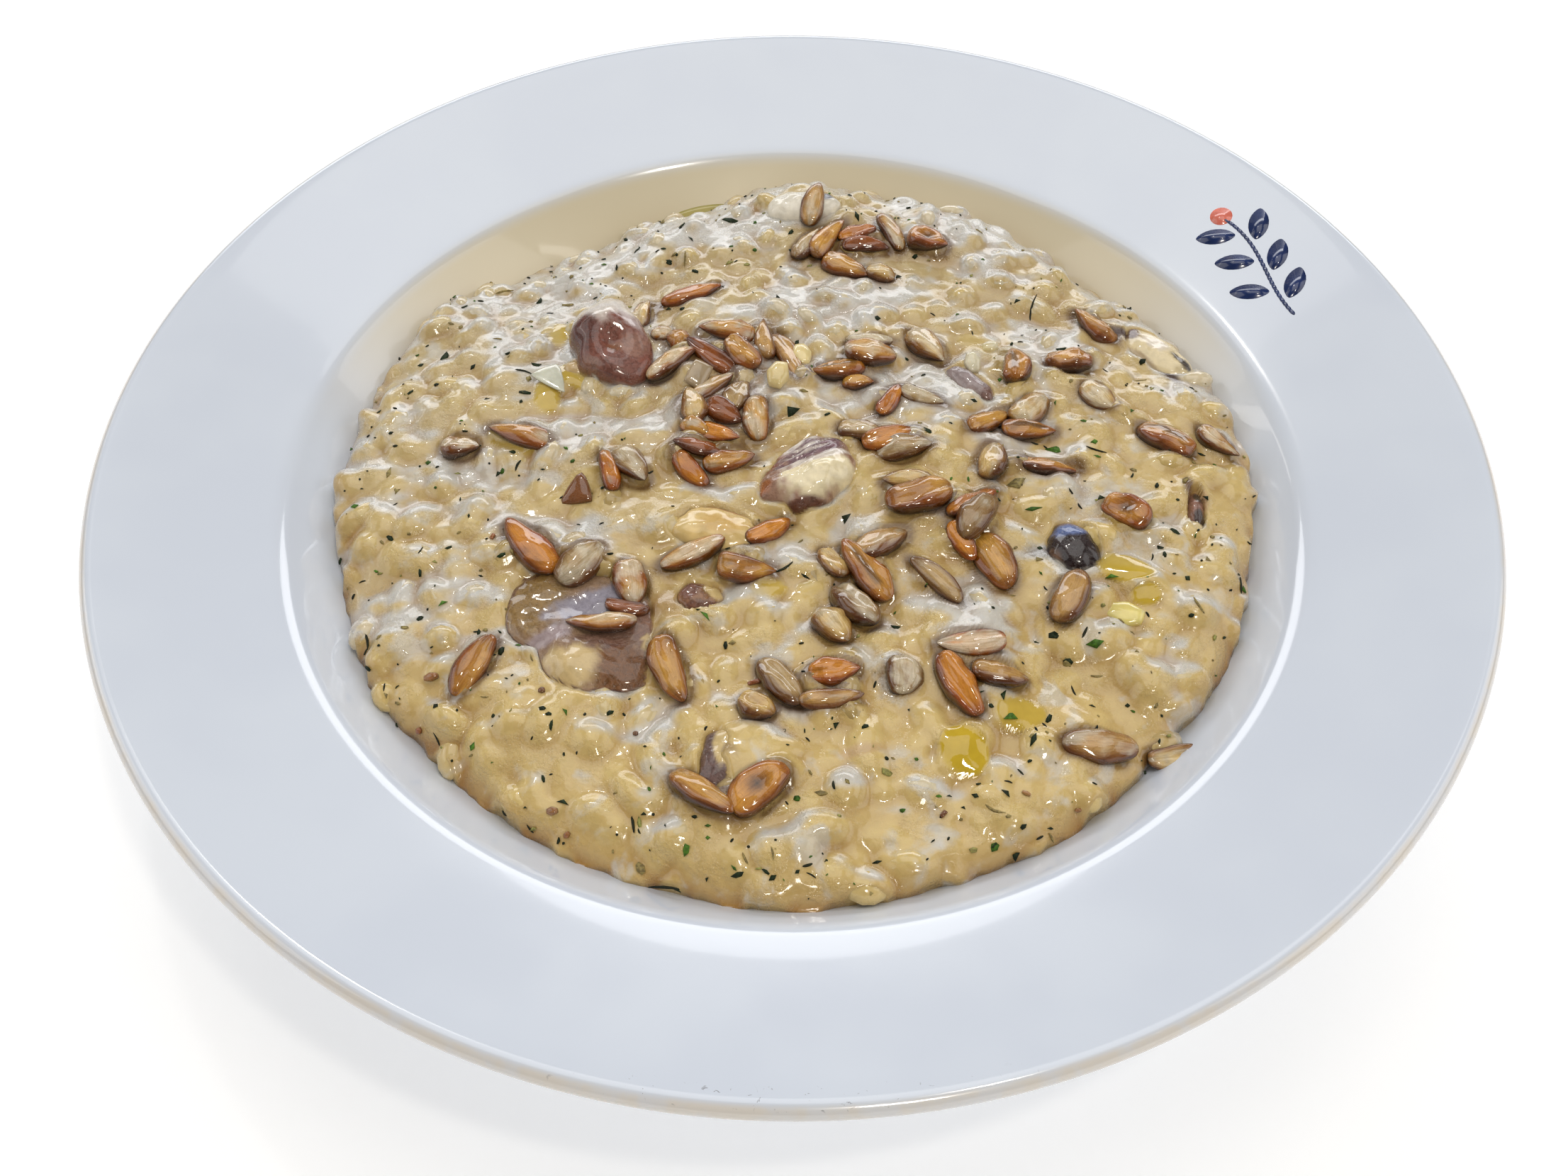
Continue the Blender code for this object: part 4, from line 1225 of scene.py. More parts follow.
def mushroom_form(name):
    """A ball pressed to the piece's sizes and outline, dented, wrinkled and put in its place."""
    piece = MUSHROOMS[name]
    form = bmesh.new()
    fine = 2 if piece.length > LONG_PIECE else 1
    bmesh.ops.create_uvsphere(form, u_segments=48 * fine, v_segments=32 * fine, radius=1.0)
    along, across, up = np.array([vert.co[:] for vert in form.verts]).T
    outline = uneven(name, np.arctan2(across, along))
    across = across * (1 + piece.taper * along)
    z = np.copysign(np.abs(up) ** piece.flatness, up) * piece.depth / 2
    along, across = along * outline * piece.length / 2, across * outline * piece.width / 2
    for dent_x, dent_y, reach, sink in piece.dents:
        near = np.exp(-((along - dent_x) ** 2 + (across - dent_y) ** 2) / reach**2)
        z = z - np.maximum(up, 0) * sink * near
    face = smooth_step(-0.1, 0.35, up)
    folds = 0.28 * cloud(along + 7 * piece.x, across, 3.4, 61)
    z = z + face * (folds + 0.12 * cloud(along, across + piece.y, 1.3, 62))
    if name in GILLED:
        gill_x, gill_y, reach_x, reach_y = GILLED[name]
        bare = np.exp(-(((along - gill_x) / reach_x) ** 2 + ((across - gill_y) / reach_y) ** 2) ** 2)
        wavy = across + 0.5 * cloud(along, across, 4, 63)
        z = z + face * bare * (0.32 * np.cos(2 * math.pi * wavy / GILL_SPACING) - 0.3)
    place_points(form, np.stack([along, across, z], 1))
    middle = height_at(bed, piece.x, piece.y) + piece.proud - piece.depth / 2
    turn = Matrix.Rotation(math.radians(piece.turn), 4, "Z")
    place = Matrix.Translation((piece.x, piece.y, middle)) @ turn
    bmesh.ops.transform(form, matrix=place, verts=form.verts)
    return form


print("a piece longer than", LONG_PIECE, "mm is made twice as fine")

# %% [markdown]
# ## Painting the mushroom pieces
# Each piece is a patchwork: bare skin, bruises, lilac flesh and clinging cream, with a painted
# highlight and glint on one piece and a painted sheen on another. A look names the piece's own
# colour and then its patches, each with a place beside the piece's middle, a reach each way, a
# slant in degrees, a colour and a strength. Last, a veil of the heap's own cream climbs a little way
# up its sides, with a ragged edge.

# %% Colours and patches of each piece
BURGUNDY, PURPLE = (108, 62, 52), (104, 72, 76)
DARK_FLESH, RUST = (40, 26, 22), (150, 84, 36)
LILAC, CREAMED = (164, 148, 152), (216, 190, 132)
VEIL, MAROON = (222, 212, 200), (84, 44, 38)
LOOKS = {
    "mushroom_cap_left": ((122, 70, 54), (
        # the pale lilac patch on the right is a painted highlight, and the small orange patch below the
        # middle a painted glint
        (-0.5, 4.9, 8.8, 4.4, 0, VEIL, 1.0), (4.2, 1.0, 3.6, 1.2, -40, (196, 180, 176), 0.8),
        (-4.8, -1.8, 3.0, 4.4, 0, (84, 42, 30), 0.9), (1.8, -4.6, 1.9, 1.1, 20, (132, 84, 44), 0.7),
        (5.2, -4.2, 2.6, 3.0, -40, (154, 116, 100), 0.8), (2.6, -8.6, 5.0, 2.6, 0, (120, 78, 66), 0.8),
        (-3.6, -8.2, 3.2, 1.6, 0, (134, 98, 80), 0.8))),
    "mushroom_slice_middle": ((150, 116, 96), (
        (-3.6, 6.4, 5.8, 3.2, 22, VEIL, 0.95), (-6.8, 1.9, 3.6, 1.2, 50, (140, 84, 50), 0.9),
        (3.9, 7.6, 2.2, 1.8, 0, (76, 70, 78), 0.85), (0.2, 4.5, 6.2, 2.6, 22, (110, 74, 84), 0.95),
        (0, 5.6, 4.4, 0.35, 24, VEIL, 0.8), (-0.6, 4.2, 4.8, 0.35, 20, VEIL, 0.7),
        (-4.6, 0.6, 1.8, 0.9, 10, (104, 70, 78), 0.9), (1.4, -2.0, 8.6, 4.0, 18, (232, 217, 178), 1.0),
        (0.8, 2.0, 7.2, 0.9, 20, VEIL, 0.85), (-1.6, -7.6, 6.6, 1.3, 8, (96, 58, 42), 0.95),
        (-8.2, -3.8, 2.2, 1.5, 20, (158, 92, 42), 0.9))),
    "mushroom_cap_large": ((146, 118, 92), (
        (-8.4, 6.4, 6.4, 9.5, 0, (138, 108, 56), 0.95), (2.4, 4.2, 9.5, 3.2, 20, (140, 136, 150), 0.9),
        (-5.6, -3.0, 4.6, 1.8, 24, LILAC, 0.8), (6.8, -8.8, 5.6, 5.0, 0, (112, 70, 30), 0.95),
        (10.6, 0.5, 3.4, 5.5, 0, (118, 82, 66), 0.8), (4, -3.6, 7, 1.8, 8, (112, 80, 70), 0.7),
        (-1, -9.2, 5.2, 4.8, 0, (206, 180, 128), 1.0))),
    "mushroom_gills": ((132, 92, 60), (
        (3, 1.5, 2.2, 2.4, 0, CREAMED, 0.9), (-2, 1, 2, 2.4, 0, (116, 76, 64), 0.8),
        (0.5, -2, 3, 1, 0, MAROON, 0.6))),
    "mushroom_slice_pale": ((214, 184, 120), (
        (1, 3.9, 8.4, 0.7, -14, RUST, 0.8), (1, 0, 5, 2.2, -14, (204, 164, 92), 0.7),
        (-5, 1, 2.5, 2, 0, CREAMED, 0.6))),
    "mushroom_cap_dark": ((38, 22, 20), (
        # the slate-blue patch on top is a painted sheen
        (-0.8, 2.4, 3.6, 1.9, 5, (92, 110, 160), 0.95), (-0.6, 4.4, 2.6, 0.8, 0, (98, 76, 92), 0.8),
        (-4.6, -3.2, 2.2, 2.4, 0, (120, 88, 64), 0.9))),
    "mushroom_piece_near": ((104, 80, 74), (
        (-7.6, 4.4, 3, 1.6, 30, LILAC, 0.7), (-4.0, 1.0, 1.4, 3.4, 0, CREAMED, 0.9))),
    "mushroom_piece_far": ((230, 222, 204), (
        (4.6, 2.2, 1.6, 2.6, 0, (62, 60, 80), 0.9), (2.6, -3.6, 1.8, 1.2, 0, PURPLE, 0.7))),
    "mushroom_slice_right": ((220, 202, 160), (
        (-4.4, 5.4, 2.2, 1.8, -50, (84, 46, 36), 0.95), (4.9, -4.2, 4.2, 0.8, -52, DARK_FLESH, 0.95),
        (-2.8, -2.2, 6, 0.7, -52, BURGUNDY, 0.4), (0, 1.5, 3.0, 2.0, -50, VEIL, 0.7))),
    "mushroom_strip": ((148, 132, 130), (
        (1.6, 1.4, 6, 0.9, -48, BURGUNDY, 0.6), (3.4, -3.7, 1.6, 1.8, 0, (104, 66, 52), 0.8))),
    "mushroom_bit_right": ((134, 96, 80), (
        (0.2, -2.6, 1.1, 2.4, 0, DARK_FLESH, 0.9), (0.7, 2.4, 1.0, 1.4, 0, (34, 38, 38), 0.9))),
}
print("the mushrooms carry", sum(len(patches) for _, patches in LOOKS.values()), "patches")

# %% [markdown]
# ## The paint and the finish of cooked mushroom
# Every point takes the patches that reach it, with ragged edges from soft noise. The finish is wet,
# and dark flesh is crumbly where pale flesh is smooth. Two thin pieces get a fine dark line just
# above the cream on one side.

# %% Paint and finish the pieces
def mushroom_paint(name, form):
    """The colour of each point: the piece's own, its patches, a dark line on one side and the cream's veil.
    """
    middle_x, middle_y = MUSHROOMS[name][:2]
    base, patches = LOOKS[name]
    world_x, world_y, world_z = np.array([vert.co for vert in form.verts]).T
    ragged = cloud(world_x + 3, world_y, 2.0, 71, 3)
    fleck = cloud(world_x, world_y + 9, 0.7, 72, 2)
    paint = np.tile(srgb(*base), (len(world_x), 1)) * (1 + 0.12 * ragged + 0.08 * fleck)[:, None]
    for patch_x, patch_y, reach_x, reach_y, slant, colour, strength in patches:
        dx, dy = world_x - middle_x - patch_x, world_y - middle_y - patch_y
        cosine, sine = math.cos(math.radians(slant)), math.sin(math.radians(slant))
        along, across = (dx * cosine + dy * sine) / reach_x, (dy * cosine - dx * sine) / reach_y
        spread = np.hypot(along, across) + 0.28 * ragged
        toned = srgb(*colour) * (1 + 0.10 * fleck)[:, None]
        paint = blend_paint(paint, toned, strength * (1 - smooth_step(0.65, 1.15, spread)))
    cream = marks_at(world_x, world_y)["paint"]
    climb = world_z - read_map(skin, world_x, world_y) + 0.45 * ragged
    if name not in ("mushroom_cap_large", "mushroom_slice_pale"):
        return blend_paint(paint, cream, 0.9 * (1 - smooth_step(0.05, 0.55, climb)))
    dark_line_side = smooth_step(0.45, -0.1, (world_x - middle_x + 0.8 * (world_y - middle_y)) / 14)
    if name == "mushroom_slice_pale":
        dark_line_side = smooth_step(-0.1, 0.3, (world_y - middle_y) / 5)
    edge = np.exp(-(((climb - 0.35) / 0.22) ** 2)) * dark_line_side
    paint = blend_paint(paint, cream, 0.9 * (1 - smooth_step(0.0, 0.2, climb)))
    return blend_paint(paint, srgb(*MAROON), 0.85 * edge)


def mushroom_finish():
    """Wet flesh, crumbly where it is dark and smooth where it is pale."""
    material, tree, shader = new_finish("cooked_mushroom", Coat_Weight=0.8, Coat_Roughness=0.07, IOR=1.42)
    where = object_place(tree)
    paint = painted(tree, "paint")
    light = add_node(tree, "RGBToBW", {0: paint}).outputs[0]
    grit = remap(tree, light, 0.35, 0.08, 0.08, 0.8)  # dark flesh is crumbly, pale flesh is smooth
    crumb = grain_noise(tree, where, 0.8, 4, 0.6)
    fibre = grain_noise(tree, where, 2.4, 4, 2.0)
    crumbly = remap(tree, crumb, 0.3, 0.7, 0, 1)
    tint = mix_colours(tree, crumbly, (0.72, 0.70, 0.68, 1), (1.26, 1.25, 1.24, 1))
    tint = mix_colours(tree, grit, (1, 1, 1, 1), tint)
    tree.links.new(mix_colours(tree, 1.0, paint, tint, "MULTIPLY"), shader.inputs["Base Color"])
    tree.links.new(remap(tree, crumb, 0.3, 0.7, 0.20, 0.42), shader.inputs["Roughness"])
    rough_form = sum_of(tree, "ADD", crumb, sum_of(tree, "MULTIPLY", fibre, 0.8))
    add_bump(tree, shader, sum_of(tree, "MULTIPLY", rough_form, grit), 0.26)
    return material


mushroom_skin = mushroom_finish()
for name in MUSHROOMS:
    form = mushroom_form(name)
    marks = {"paint": mushroom_paint(name, form)}
    cooked = finish_piece(name.replace("mushroom", "cooked"), form, mushroom_skin, marks)
    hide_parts(name)

# %% [markdown]
# ## Broken bits
# A few odd bits lie between the larger things: crumbs of toasted kernel, peeled pale lumps, a
# yellow chunk and a clear sliver of onion. Each is a ball pressed towards a figure with a few
# corners, which dice make a little uneven.

# %% The layout of the bits, on the level sheet
# place, turn, length, width, height, corners, colour
CRUMBS = (
    (-36.5, -11.2, 20, 6.4, 5.8, 2.2, 3, (128, 76, 30)),
    (-56.5, -49.5, 5, 3.6, 1.8, 1.4, 6, (160, 106, 54)), (-39, -52, 0, 1.6, 1.4, 0.9, 6, (120, 76, 36)),
    (-57, -59.5, 30, 1.7, 1.4, 1.0, 5, (150, 84, 34)), (-35.5, -73.5, 0, 2.6, 1.8, 1.2, 6, (150, 104, 60)),
    (-33, -77.5, 40, 1.6, 1.2, 1.0, 5, (150, 92, 34)), (34.5, -70.5, -25, 2.0, 0.9, 0.8, 6, (176, 128, 74)),
    (-6, -50.5, 12, 3.2, 1.0, 0.9, 4, (150, 84, 40)), (-50, -21, 60, 1.6, 1.0, 0.8, 4, (160, 96, 40)),
    (-24, -60, 0, 1.2, 1.0, 0.8, 6, (110, 70, 36)), (22, -74, 50, 1.8, 1.0, 0.9, 4, (112, 68, 34)),
    (42, -73, 10, 1.4, 0.9, 0.8, 5, (150, 100, 50)),
)
PALE_BITS = (
    (53.5, -37, -20, 8.8, 6.0, 2.2, 6, (222, 206, 126)),
    (-43.5, 16.5, 126, 8.6, 5.2, 0.8, 3, (200, 200, 182)),
    (-2.5, 17.5, 75, 7.6, 5.4, 3.0, 6, (228, 206, 146)),
    (1.8, 22.5, 100, 7.0, 5.0, 3.0, 6, (230, 210, 152)), (-17, 17.5, 70, 7.6, 5.4, 2.0, 4, (168, 148, 118)),
    (33, 20.5, 100, 5.8, 4.0, 2.2, 6, (214, 206, 178)), (36.5, 24.5, 5, 4.4, 3.6, 2.0, 6, (216, 200, 150)),
)
print(len(CRUMBS), "crumbs and", len(PALE_BITS), "pale bits are laid out")

# %% [markdown]
# ## Laying the bits
# A bit lies on the slope under it and is sunk by a share of its height. Crumbs have the finish of
# the kernels they broke from, and pale bits that of wet rice.

# %% Shape the bits and lay them down
def chunk_form(length, width, tall, corners, dice):
    """A ball with a few blunt corners."""
    form = bmesh.new()
    bmesh.ops.create_uvsphere(form, u_segments=24, v_segments=12, radius=1.0)
    sides = [2 * math.pi * (corner + dice.uniform(-0.1, 0.1)) / corners for corner in range(corners)]
    for vert in form.verts:
        swirl = math.atan2(vert.co.y, vert.co.x)
        reach = 0.16 + 0.56 / max(0.5, max(math.cos(swirl - side) for side in sides))
        vert.co = (vert.co.x * reach * length / 2, vert.co.y * reach * width / 2,
                   math.copysign(abs(vert.co.z) ** 0.6, vert.co.z) * (1 + 0.25 * vert.co.x) * tall / 2)
    return form


def lay_bits(layout, name, finish, slot, sunk):
    """One mesh of all the bits in a layout."""
    bits = Gathering()
    dice = np.random.default_rng(91)
    for sheet_x, sheet_y, turn, length, width, tall, corners, colour in layout:
        x, y = drop_to_skin(sheet_x, sheet_y, lift=0.3 * tall)
        form = chunk_form(length, width, tall, corners, dice)
        spots = np.array([vert.co[:] for vert in form.verts]) / (length / 2, width / 2, tall / 2)
        mottle = cloud(spots[:, 0] * 2, spots[:, 1] * 2, 1.0, int(dice.integers(1, 99)), 2)
        paint = np.tile(srgb(*colour), (len(spots), 1)) * (1 + 0.12 * mottle)[:, None]
        if slot == "kernel":
            # painted shade: the underside of a kernel crumb is painted near black
            paint = blend_paint(paint, SCORCHED_AND_SHADE, 0.8 * smooth_step(0.25, -0.3, spots[:, 2]))
        fibre = spots * length + dice.uniform(0, 9)
        marks = {"paint": paint, "fibre": fibre, "oil": np.full(len(spots), 0.25)}
        z = height_at(skin, x, y) + sunk * tall
        bits.pour(form, lying(x, y, z, slope_at(smooth_skin, x, y), turn, 0.1, 0.1), marks)
    bits.finish(name, finish, slot)


lay_bits(CRUMBS, "kernel_crumbs", toasted, "kernel", 0.22)
lay_bits(PALE_BITS, "pale_bits", wet_rice, "rice", 0.12)

# %% [markdown]
# ## Oil on the plate
# Some oil has run out of the heap at the far left and clings to the wall. It is a thin crescent
# that follows the edge of the heap: a grid bent round the plate and given a little depth.

# %% The crescent of oil
OIL_START, OIL_END = 92.0, 113.0  # degrees round the plate
OIL_INNER, OIL_DEPTH = 78.0, 0.2  # mm: the radius where the oil begins, and its depth


def crescent_form():
    """A sheet bent along the wall of the well, thickest in its middle, and closed underneath."""
    form = bmesh.new()
    bmesh.ops.create_grid(form, x_segments=48, y_segments=8, size=1.0)
    for vert in form.verts:
        share, out = (vert.co.x + 1) / 2, (vert.co.y + 1) / 2
        angle = OIL_START + (OIL_END - OIL_START) * share
        full = math.sin(math.pi * share) ** 0.7
        radius = OIL_INNER + out * (1.6 + 2.8 * full)
        height = float(well_height(radius)) + 0.06 + 0.28 * (1 - out**3) * full
        vert.co = (radius * math.cos(math.radians(angle)), radius * math.sin(math.radians(angle)), height)
    thicken(form, -OIL_DEPTH)
    return form


def oil_finish():
    """Clear golden oil, deeper in some places."""
    material, tree, shader = new_finish("olive_oil", Roughness=0.05, Coat_Weight=1.0, Coat_Roughness=0.02)
    deep = remap(tree, grain_noise(tree, object_place(tree), 6, 2), 0.35, 0.65, 0, 1)
    colour = mix_colours(tree, deep, (*srgb(168, 156, 78), 1), (*srgb(188, 176, 112), 1))
    tree.links.new(colour, shader.inputs["Base Color"])
    return material


finish_piece("oil_crescent", crescent_form(), oil_finish())

# %% [markdown]
# ## Chopped herbs
# The herbs are dark, almost black where they are wet: torn leaf, thin stalk and fine dust. A
# leaf is a flat ring of points with a ragged outline, extruded to a thin flake. A stalk is a long
# thin ball. Those that stand out are listed one by one, and the rest are strewn by chance, thicker
# towards the edge of the heap.

# %% The layout of the herbs that stand out
HERBS = (  # place on the level sheet, heading, length, kind
    (-38, 52.5, 80, 2.2, "leaf"), (-36, 47, 10, 1.5, "green"), (-42, 43.5, 20, 1.6, "leaf"),
    (-38, 41.5, 0, 1.1, "green"), (-54.5, 39.5, 25, 4.0, "stalk"), (-47.5, 36.5, 50, 2.2, "leaf"),
    (-42, 35.5, 0, 2.6, "leaf"), (-37, 37.5, 30, 1.2, "leaf"), (-61.5, 35, 0, 1.6, "leaf"),
    (-63.5, 30.5, 0, 1.6, "leaf"), (-48.5, 31, 20, 1.2, "leaf"), (-54.5, 26.5, 0, 2.2, "stalk"),
    (-67, 24.5, 40, 1.0, "leaf"), (-63.5, 21.5, 55, 3.0, "leaf"), (-68.5, 22, 0, 1.0, "green"),
    (-67.5, 19.5, 30, 1.4, "leaf"), (-58, 19, 50, 1.6, "leaf"), (-52, 22.5, 0, 1.3, "leaf"),
    (-48.5, 18, -5, 3.6, "stalk"), (-46.5, 19.5, -15, 2.4, "leaf"), (-47.5, 16, 80, 1.8, "leaf"),
    (-64, 14.5, 0, 1.1, "leaf"), (-68.5, 12.5, 35, 2.0, "leaf"), (-48, 12.5, 0, 2.8, "leaf"),
    (-58.5, 5.5, 0, 1.0, "green"), (-70.5, 2.5, 20, 1.1, "leaf"), (-57.5, 3, 0, 1.5, "leaf"),
    (-37, 2, 20, 1.2, "green"), (-38, 18, -20, 3.2, "leaf"), (-35.5, 19.5, 70, 2.2, "leaf"),
    (-26.5, 60.5, 60, 1.2, "leaf"), (-21.5, 58.5, -20, 2.0, "leaf"), (-19.5, 54.5, -50, 1.9, "leaf"),
    (-34.5, 55, 0, 1.4, "leaf"), (-23.5, 47.5, 0, 3.0, "leaf"), (-22.5, 50, -10, 2.6, "leaf"),
    (-20.5, 49, 85, 3.2, "stalk"), (-33.5, 46, 90, 1.8, "leaf"), (-12, 60, -15, 4.2, "leaf"),
    (-12, 47.5, 20, 2.2, "green"), (-8.5, 47, 25, 1.8, "green"), (0, 51, 60, 1.6, "leaf"),
    (0, 56.5, 60, 1.8, "leaf"), (13, 61.5, -60, 2.8, "leaf"), (-23, 34.5, 0, 1.4, "leaf"),
    (-20.5, 34.5, 0, 1.2, "leaf"), (-30.5, 35, 0, 1.3, "green"), (16, 32, 0, 1.6, "leaf"),
    (12, 28.5, 30, 1.1, "green"), (1, 25.5, 60, 1.8, "leaf"), (2, 13, 0, 2.0, "leaf"),
    (24, 49.5, 20, 1.4, "leaf"), (20.5, 43.5, 20, 2.0, "leaf"), (0, 8, 50, 4.4, "leaf"),
    (24, 3, -30, 2.4, "leaf"), (22.5, 5, 0, 1.0, "leaf"), (28, 5, -20, 1.0, "leaf"),
    (21, 21, 0, 1.1, "leaf"), (31, 33, 30, 1.2, "green"), (26.5, 33, -40, 1.4, "stalk"),
    (24, 49, 40, 1.3, "leaf"), (26.5, 48.5, 0, 1.2, "leaf"), (37, 48.5, 0, 1.1, "green"),
    (45, 34.5, 70, 6.5, "stalk"), (33.5, 28, 100, 5.5, "stalk"), (36.5, 24.5, 0, 1.1, "green"),
    (40.5, 25, 60, 1.1, "leaf"), (49.5, 23.5, 10, 2.4, "leaf"), (50.5, 15.5, 40, 1.1, "leaf"),
    (62.5, 15.5, 12, 3.8, "stalk"), (32.5, 6.5, 45, 1.3, "leaf"), (32.5, 10.5, -10, 1.5, "leaf"),
    (47, 10, 80, 1.4, "green"), (51.5, 5.5, 0, 1.6, "green"), (49, 3.5, 0, 0.9, "leaf"),
    (53, 0.5, 5, 1.6, "green"), (66.5, 13, 0, 1.0, "green"), (63.5, 34.5, -30, 1.2, "leaf"),
    (51.5, 42.5, 70, 0.9, "green"), (46, -1.5, -3, 4.5, "green"), (53, -1.5, -10, 4.2, "stalk"),
    (53, -3, 0, 1.8, "green"), (38.5, -9, 12, 4.4, "leaf"), (35, -13, 0, 1.2, "leaf"),
    (40.5, -15, 6, 3.6, "green"), (37, -23.5, 40, 1.0, "leaf"), (40.5, -26, 30, 2.0, "leaf"),
    (52.5, -12.5, 20, 1.9, "leaf"), (47.5, -11, -60, 1.4, "stalk"), (58.5, -7.5, 60, 1.3, "leaf"),
    (71, -2.5, -20, 1.7, "leaf"), (69.5, -4.5, -20, 1.2, "leaf"), (73, -5, 0, 1.0, "green"),
    (67.5, -8.5, 60, 1.9, "leaf"), (70.5, -12.5, -60, 1.9, "leaf"), (64, -20, -40, 2.1, "leaf"),
    (61, -23.5, -60, 2.0, "leaf"), (61.5, -25, -85, 1.4, "leaf"), (59.5, -25.5, 75, 1.7, "stalk"),
    (63.5, -25, 0, 0.9, "leaf"), (62.5, -29, 10, 0.9, "leaf"), (64.5, -30, 50, 1.4, "leaf"),
    (52, -30, -5, 3.2, "green"), (73, -31.5, -88, 3.4, "stalk"), (75.5, -31, -85, 3.0, "stalk"),
    (65.5, -35.5, -60, 3.4, "stalk"), (64, -37.5, 0, 1.2, "leaf"), (41.5, -35, 0, 1.1, "green"),
    (50, -35.5, 40, 1.2, "green"), (52.5, -38.5, -55, 1.7, "stalk"), (54, -41, -20, 1.2, "leaf"),
    (41.5, -41.5, -15, 2.4, "leaf"), (46.5, -41, 60, 2.4, "stalk"), (48, -43, 0, 3.0, "green"),
    (43.5, -46, -30, 2.0, "leaf"), (67, -42, 80, 1.5, "green"), (68.5, -42, 20, 1.1, "leaf"),
    (43, -47, -65, 2.2, "leaf"), (47.5, -49.5, 0, 2.3, "stalk"), (43.5, -52.5, -70, 3.6, "stalk"),
    (29, -52.5, 20, 1.8, "leaf"), (32.5, -53, 75, 2.4, "leaf"), (30.5, -55, 0, 1.0, "leaf"),
    (33.5, -57, 2, 3.4, "green"), (39, -57.5, 60, 1.9, "leaf"), (36.5, -61, 60, 3.2, "leaf"),
    (35.5, -65, 0, 1.0, "leaf"), (46, -55, -20, 1.6, "leaf"), (51.5, -55, 0, 1.2, "leaf"),
    (57, -60.5, 30, 1.1, "green"), (55.5, -61.5, 70, 1.1, "leaf"), (52.5, -67, 60, 1.2, "leaf"),
    (27.5, -69, 0, 1.0, "leaf"), (32, -68.5, -10, 1.4, "stalk"), (23, -71, 5, 1.6, "leaf"),
    (21.5, -71, 0, 1.2, "green"), (27, -71, -30, 1.6, "leaf"), (31.5, -70.5, -45, 2.6, "leaf"),
    (25, -73, -20, 1.0, "leaf"), (29.5, -73.5, -30, 3.6, "stalk"), (31.5, -74.5, 0, 1.2, "leaf"),
    (37.5, -76.5, 0, 1.2, "leaf"), (37.5, -78, -50, 1.8, "stalk"), (26, -80, 10, 1.7, "green"),
    (29, -79.5, 45, 1.8, "green"), (32, -81, 70, 1.7, "leaf"), (16, -73.5, 0, 1.2, "green"),
    (6.5, -58.5, 60, 1.7, "leaf"), (15, -64.5, -30, 1.1, "leaf"), (14, -67, -15, 3.2, "green"),
    (8, -68.5, -50, 1.3, "leaf"), (4, -70.5, -5, 3.0, "leaf"), (0.5, -71.5, 40, 1.4, "green"),
    (9, -17, 60, 3.0, "leaf"), (-1.5, -28, 25, 4.2, "stalk"), (2, -29.5, -30, 2.2, "leaf"),
    (16.5, -40, 0, 2.0, "leaf"), (-9.5, -43, 0, 1.6, "leaf"), (-14, -37.5, -50, 3.6, "green"),
    (-22, -74, 0, 1.1, "leaf"), (-23.5, -75.5, -80, 3.6, "stalk"), (-22.5, -75.5, 88, 2.2, "green"),
    (-14.5, -74.5, 0, 1.1, "leaf"), (-12.5, -76, 0, 1.1, "green"), (-12.5, -78, 0, 1.0, "green"),
    (-15.5, -80, 85, 2.2, "green"), (-22, -83, -55, 2.6, "leaf"), (-18.5, -86, -17, 6.0, "stalk"),
    (-16.5, -86.5, -20, 1.8, "leaf"), (-7, -81.5, -60, 2.2, "stalk"), (-8, -84, 20, 2.4, "leaf"),
    (-8.5, -83, -50, 1.4, "green"), (-5, -83, 0, 1.1, "green"), (-3, -80.5, -80, 2.1, "stalk"),
    (-3, -84.5, 35, 1.8, "leaf"), (2, -82.5, 20, 1.8, "stalk"), (0.5, -83.5, 40, 1.3, "leaf"),
    (2.5, -84, -25, 1.8, "stalk"), (12, -82, 10, 2.0, "leaf"), (11, -87, 40, 1.1, "leaf"),
    (-69.5, -7, 80, 3.0, "leaf"), (-67.5, -11, 60, 1.8, "leaf"), (-73.5, -10.5, 0, 0.9, "leaf"),
    (-63, -4.5, 0, 1.5, "green"), (-57.5, -7, 0, 1.9, "green"), (-50.5, -7, 30, 1.8, "leaf"),
    (-54.5, -0.5, 0, 0.9, "leaf"), (-48.5, -2, 10, 1.9, "leaf"), (-47.5, -5, 70, 2.4, "stalk"),
    (-43, -6, 0, 0.9, "leaf"), (-38, -4, 30, 1.1, "green"), (-54.5, -16.5, 85, 1.2, "leaf"),
    (-67, -21.5, -40, 1.9, "leaf"), (-61.5, -24, 75, 2.2, "stalk"), (-64, -20.5, -10, 1.0, "leaf"),
    (-57, -23.5, 30, 1.7, "leaf"), (-74.5, -26.5, 60, 1.6, "leaf"), (-46, -24.5, 0, 2.4, "leaf"),
    (-48, -25, 30, 1.9, "leaf"), (-59, -26.5, 0, 1.1, "green"), (-61, -29, 88, 1.8, "leaf"),
    (-67.5, -29, 0, 1.5, "green"), (-51, -29.5, -20, 1.0, "leaf"), (-56.5, -35, 35, 2.3, "green"),
    (-62, -40, 10, 1.6, "leaf"), (-67.5, -42.5, -75, 3.6, "stalk"), (-50, -41, 80, 1.5, "leaf"),
    (-49, -40.5, -30, 1.1, "leaf"), (-57, -45, 0, 0.9, "leaf"), (-65.5, -43.5, 0, 0.9, "leaf"),
    (-46, -44.5, 70, 1.9, "leaf"), (-43.5, -43.5, 0, 1.1, "green"), (-37, -41.5, 0, 2.6, "leaf"),
    (-66.5, -48, -40, 1.5, "leaf"), (-52, -48, 50, 1.6, "leaf"), (-63.5, -51.5, 90, 1.6, "stalk"),
    (-61.5, -51.5, 40, 1.1, "leaf"), (-63, -53, -60, 1.8, "leaf"), (-61, -54.5, -30, 1.4, "leaf"),
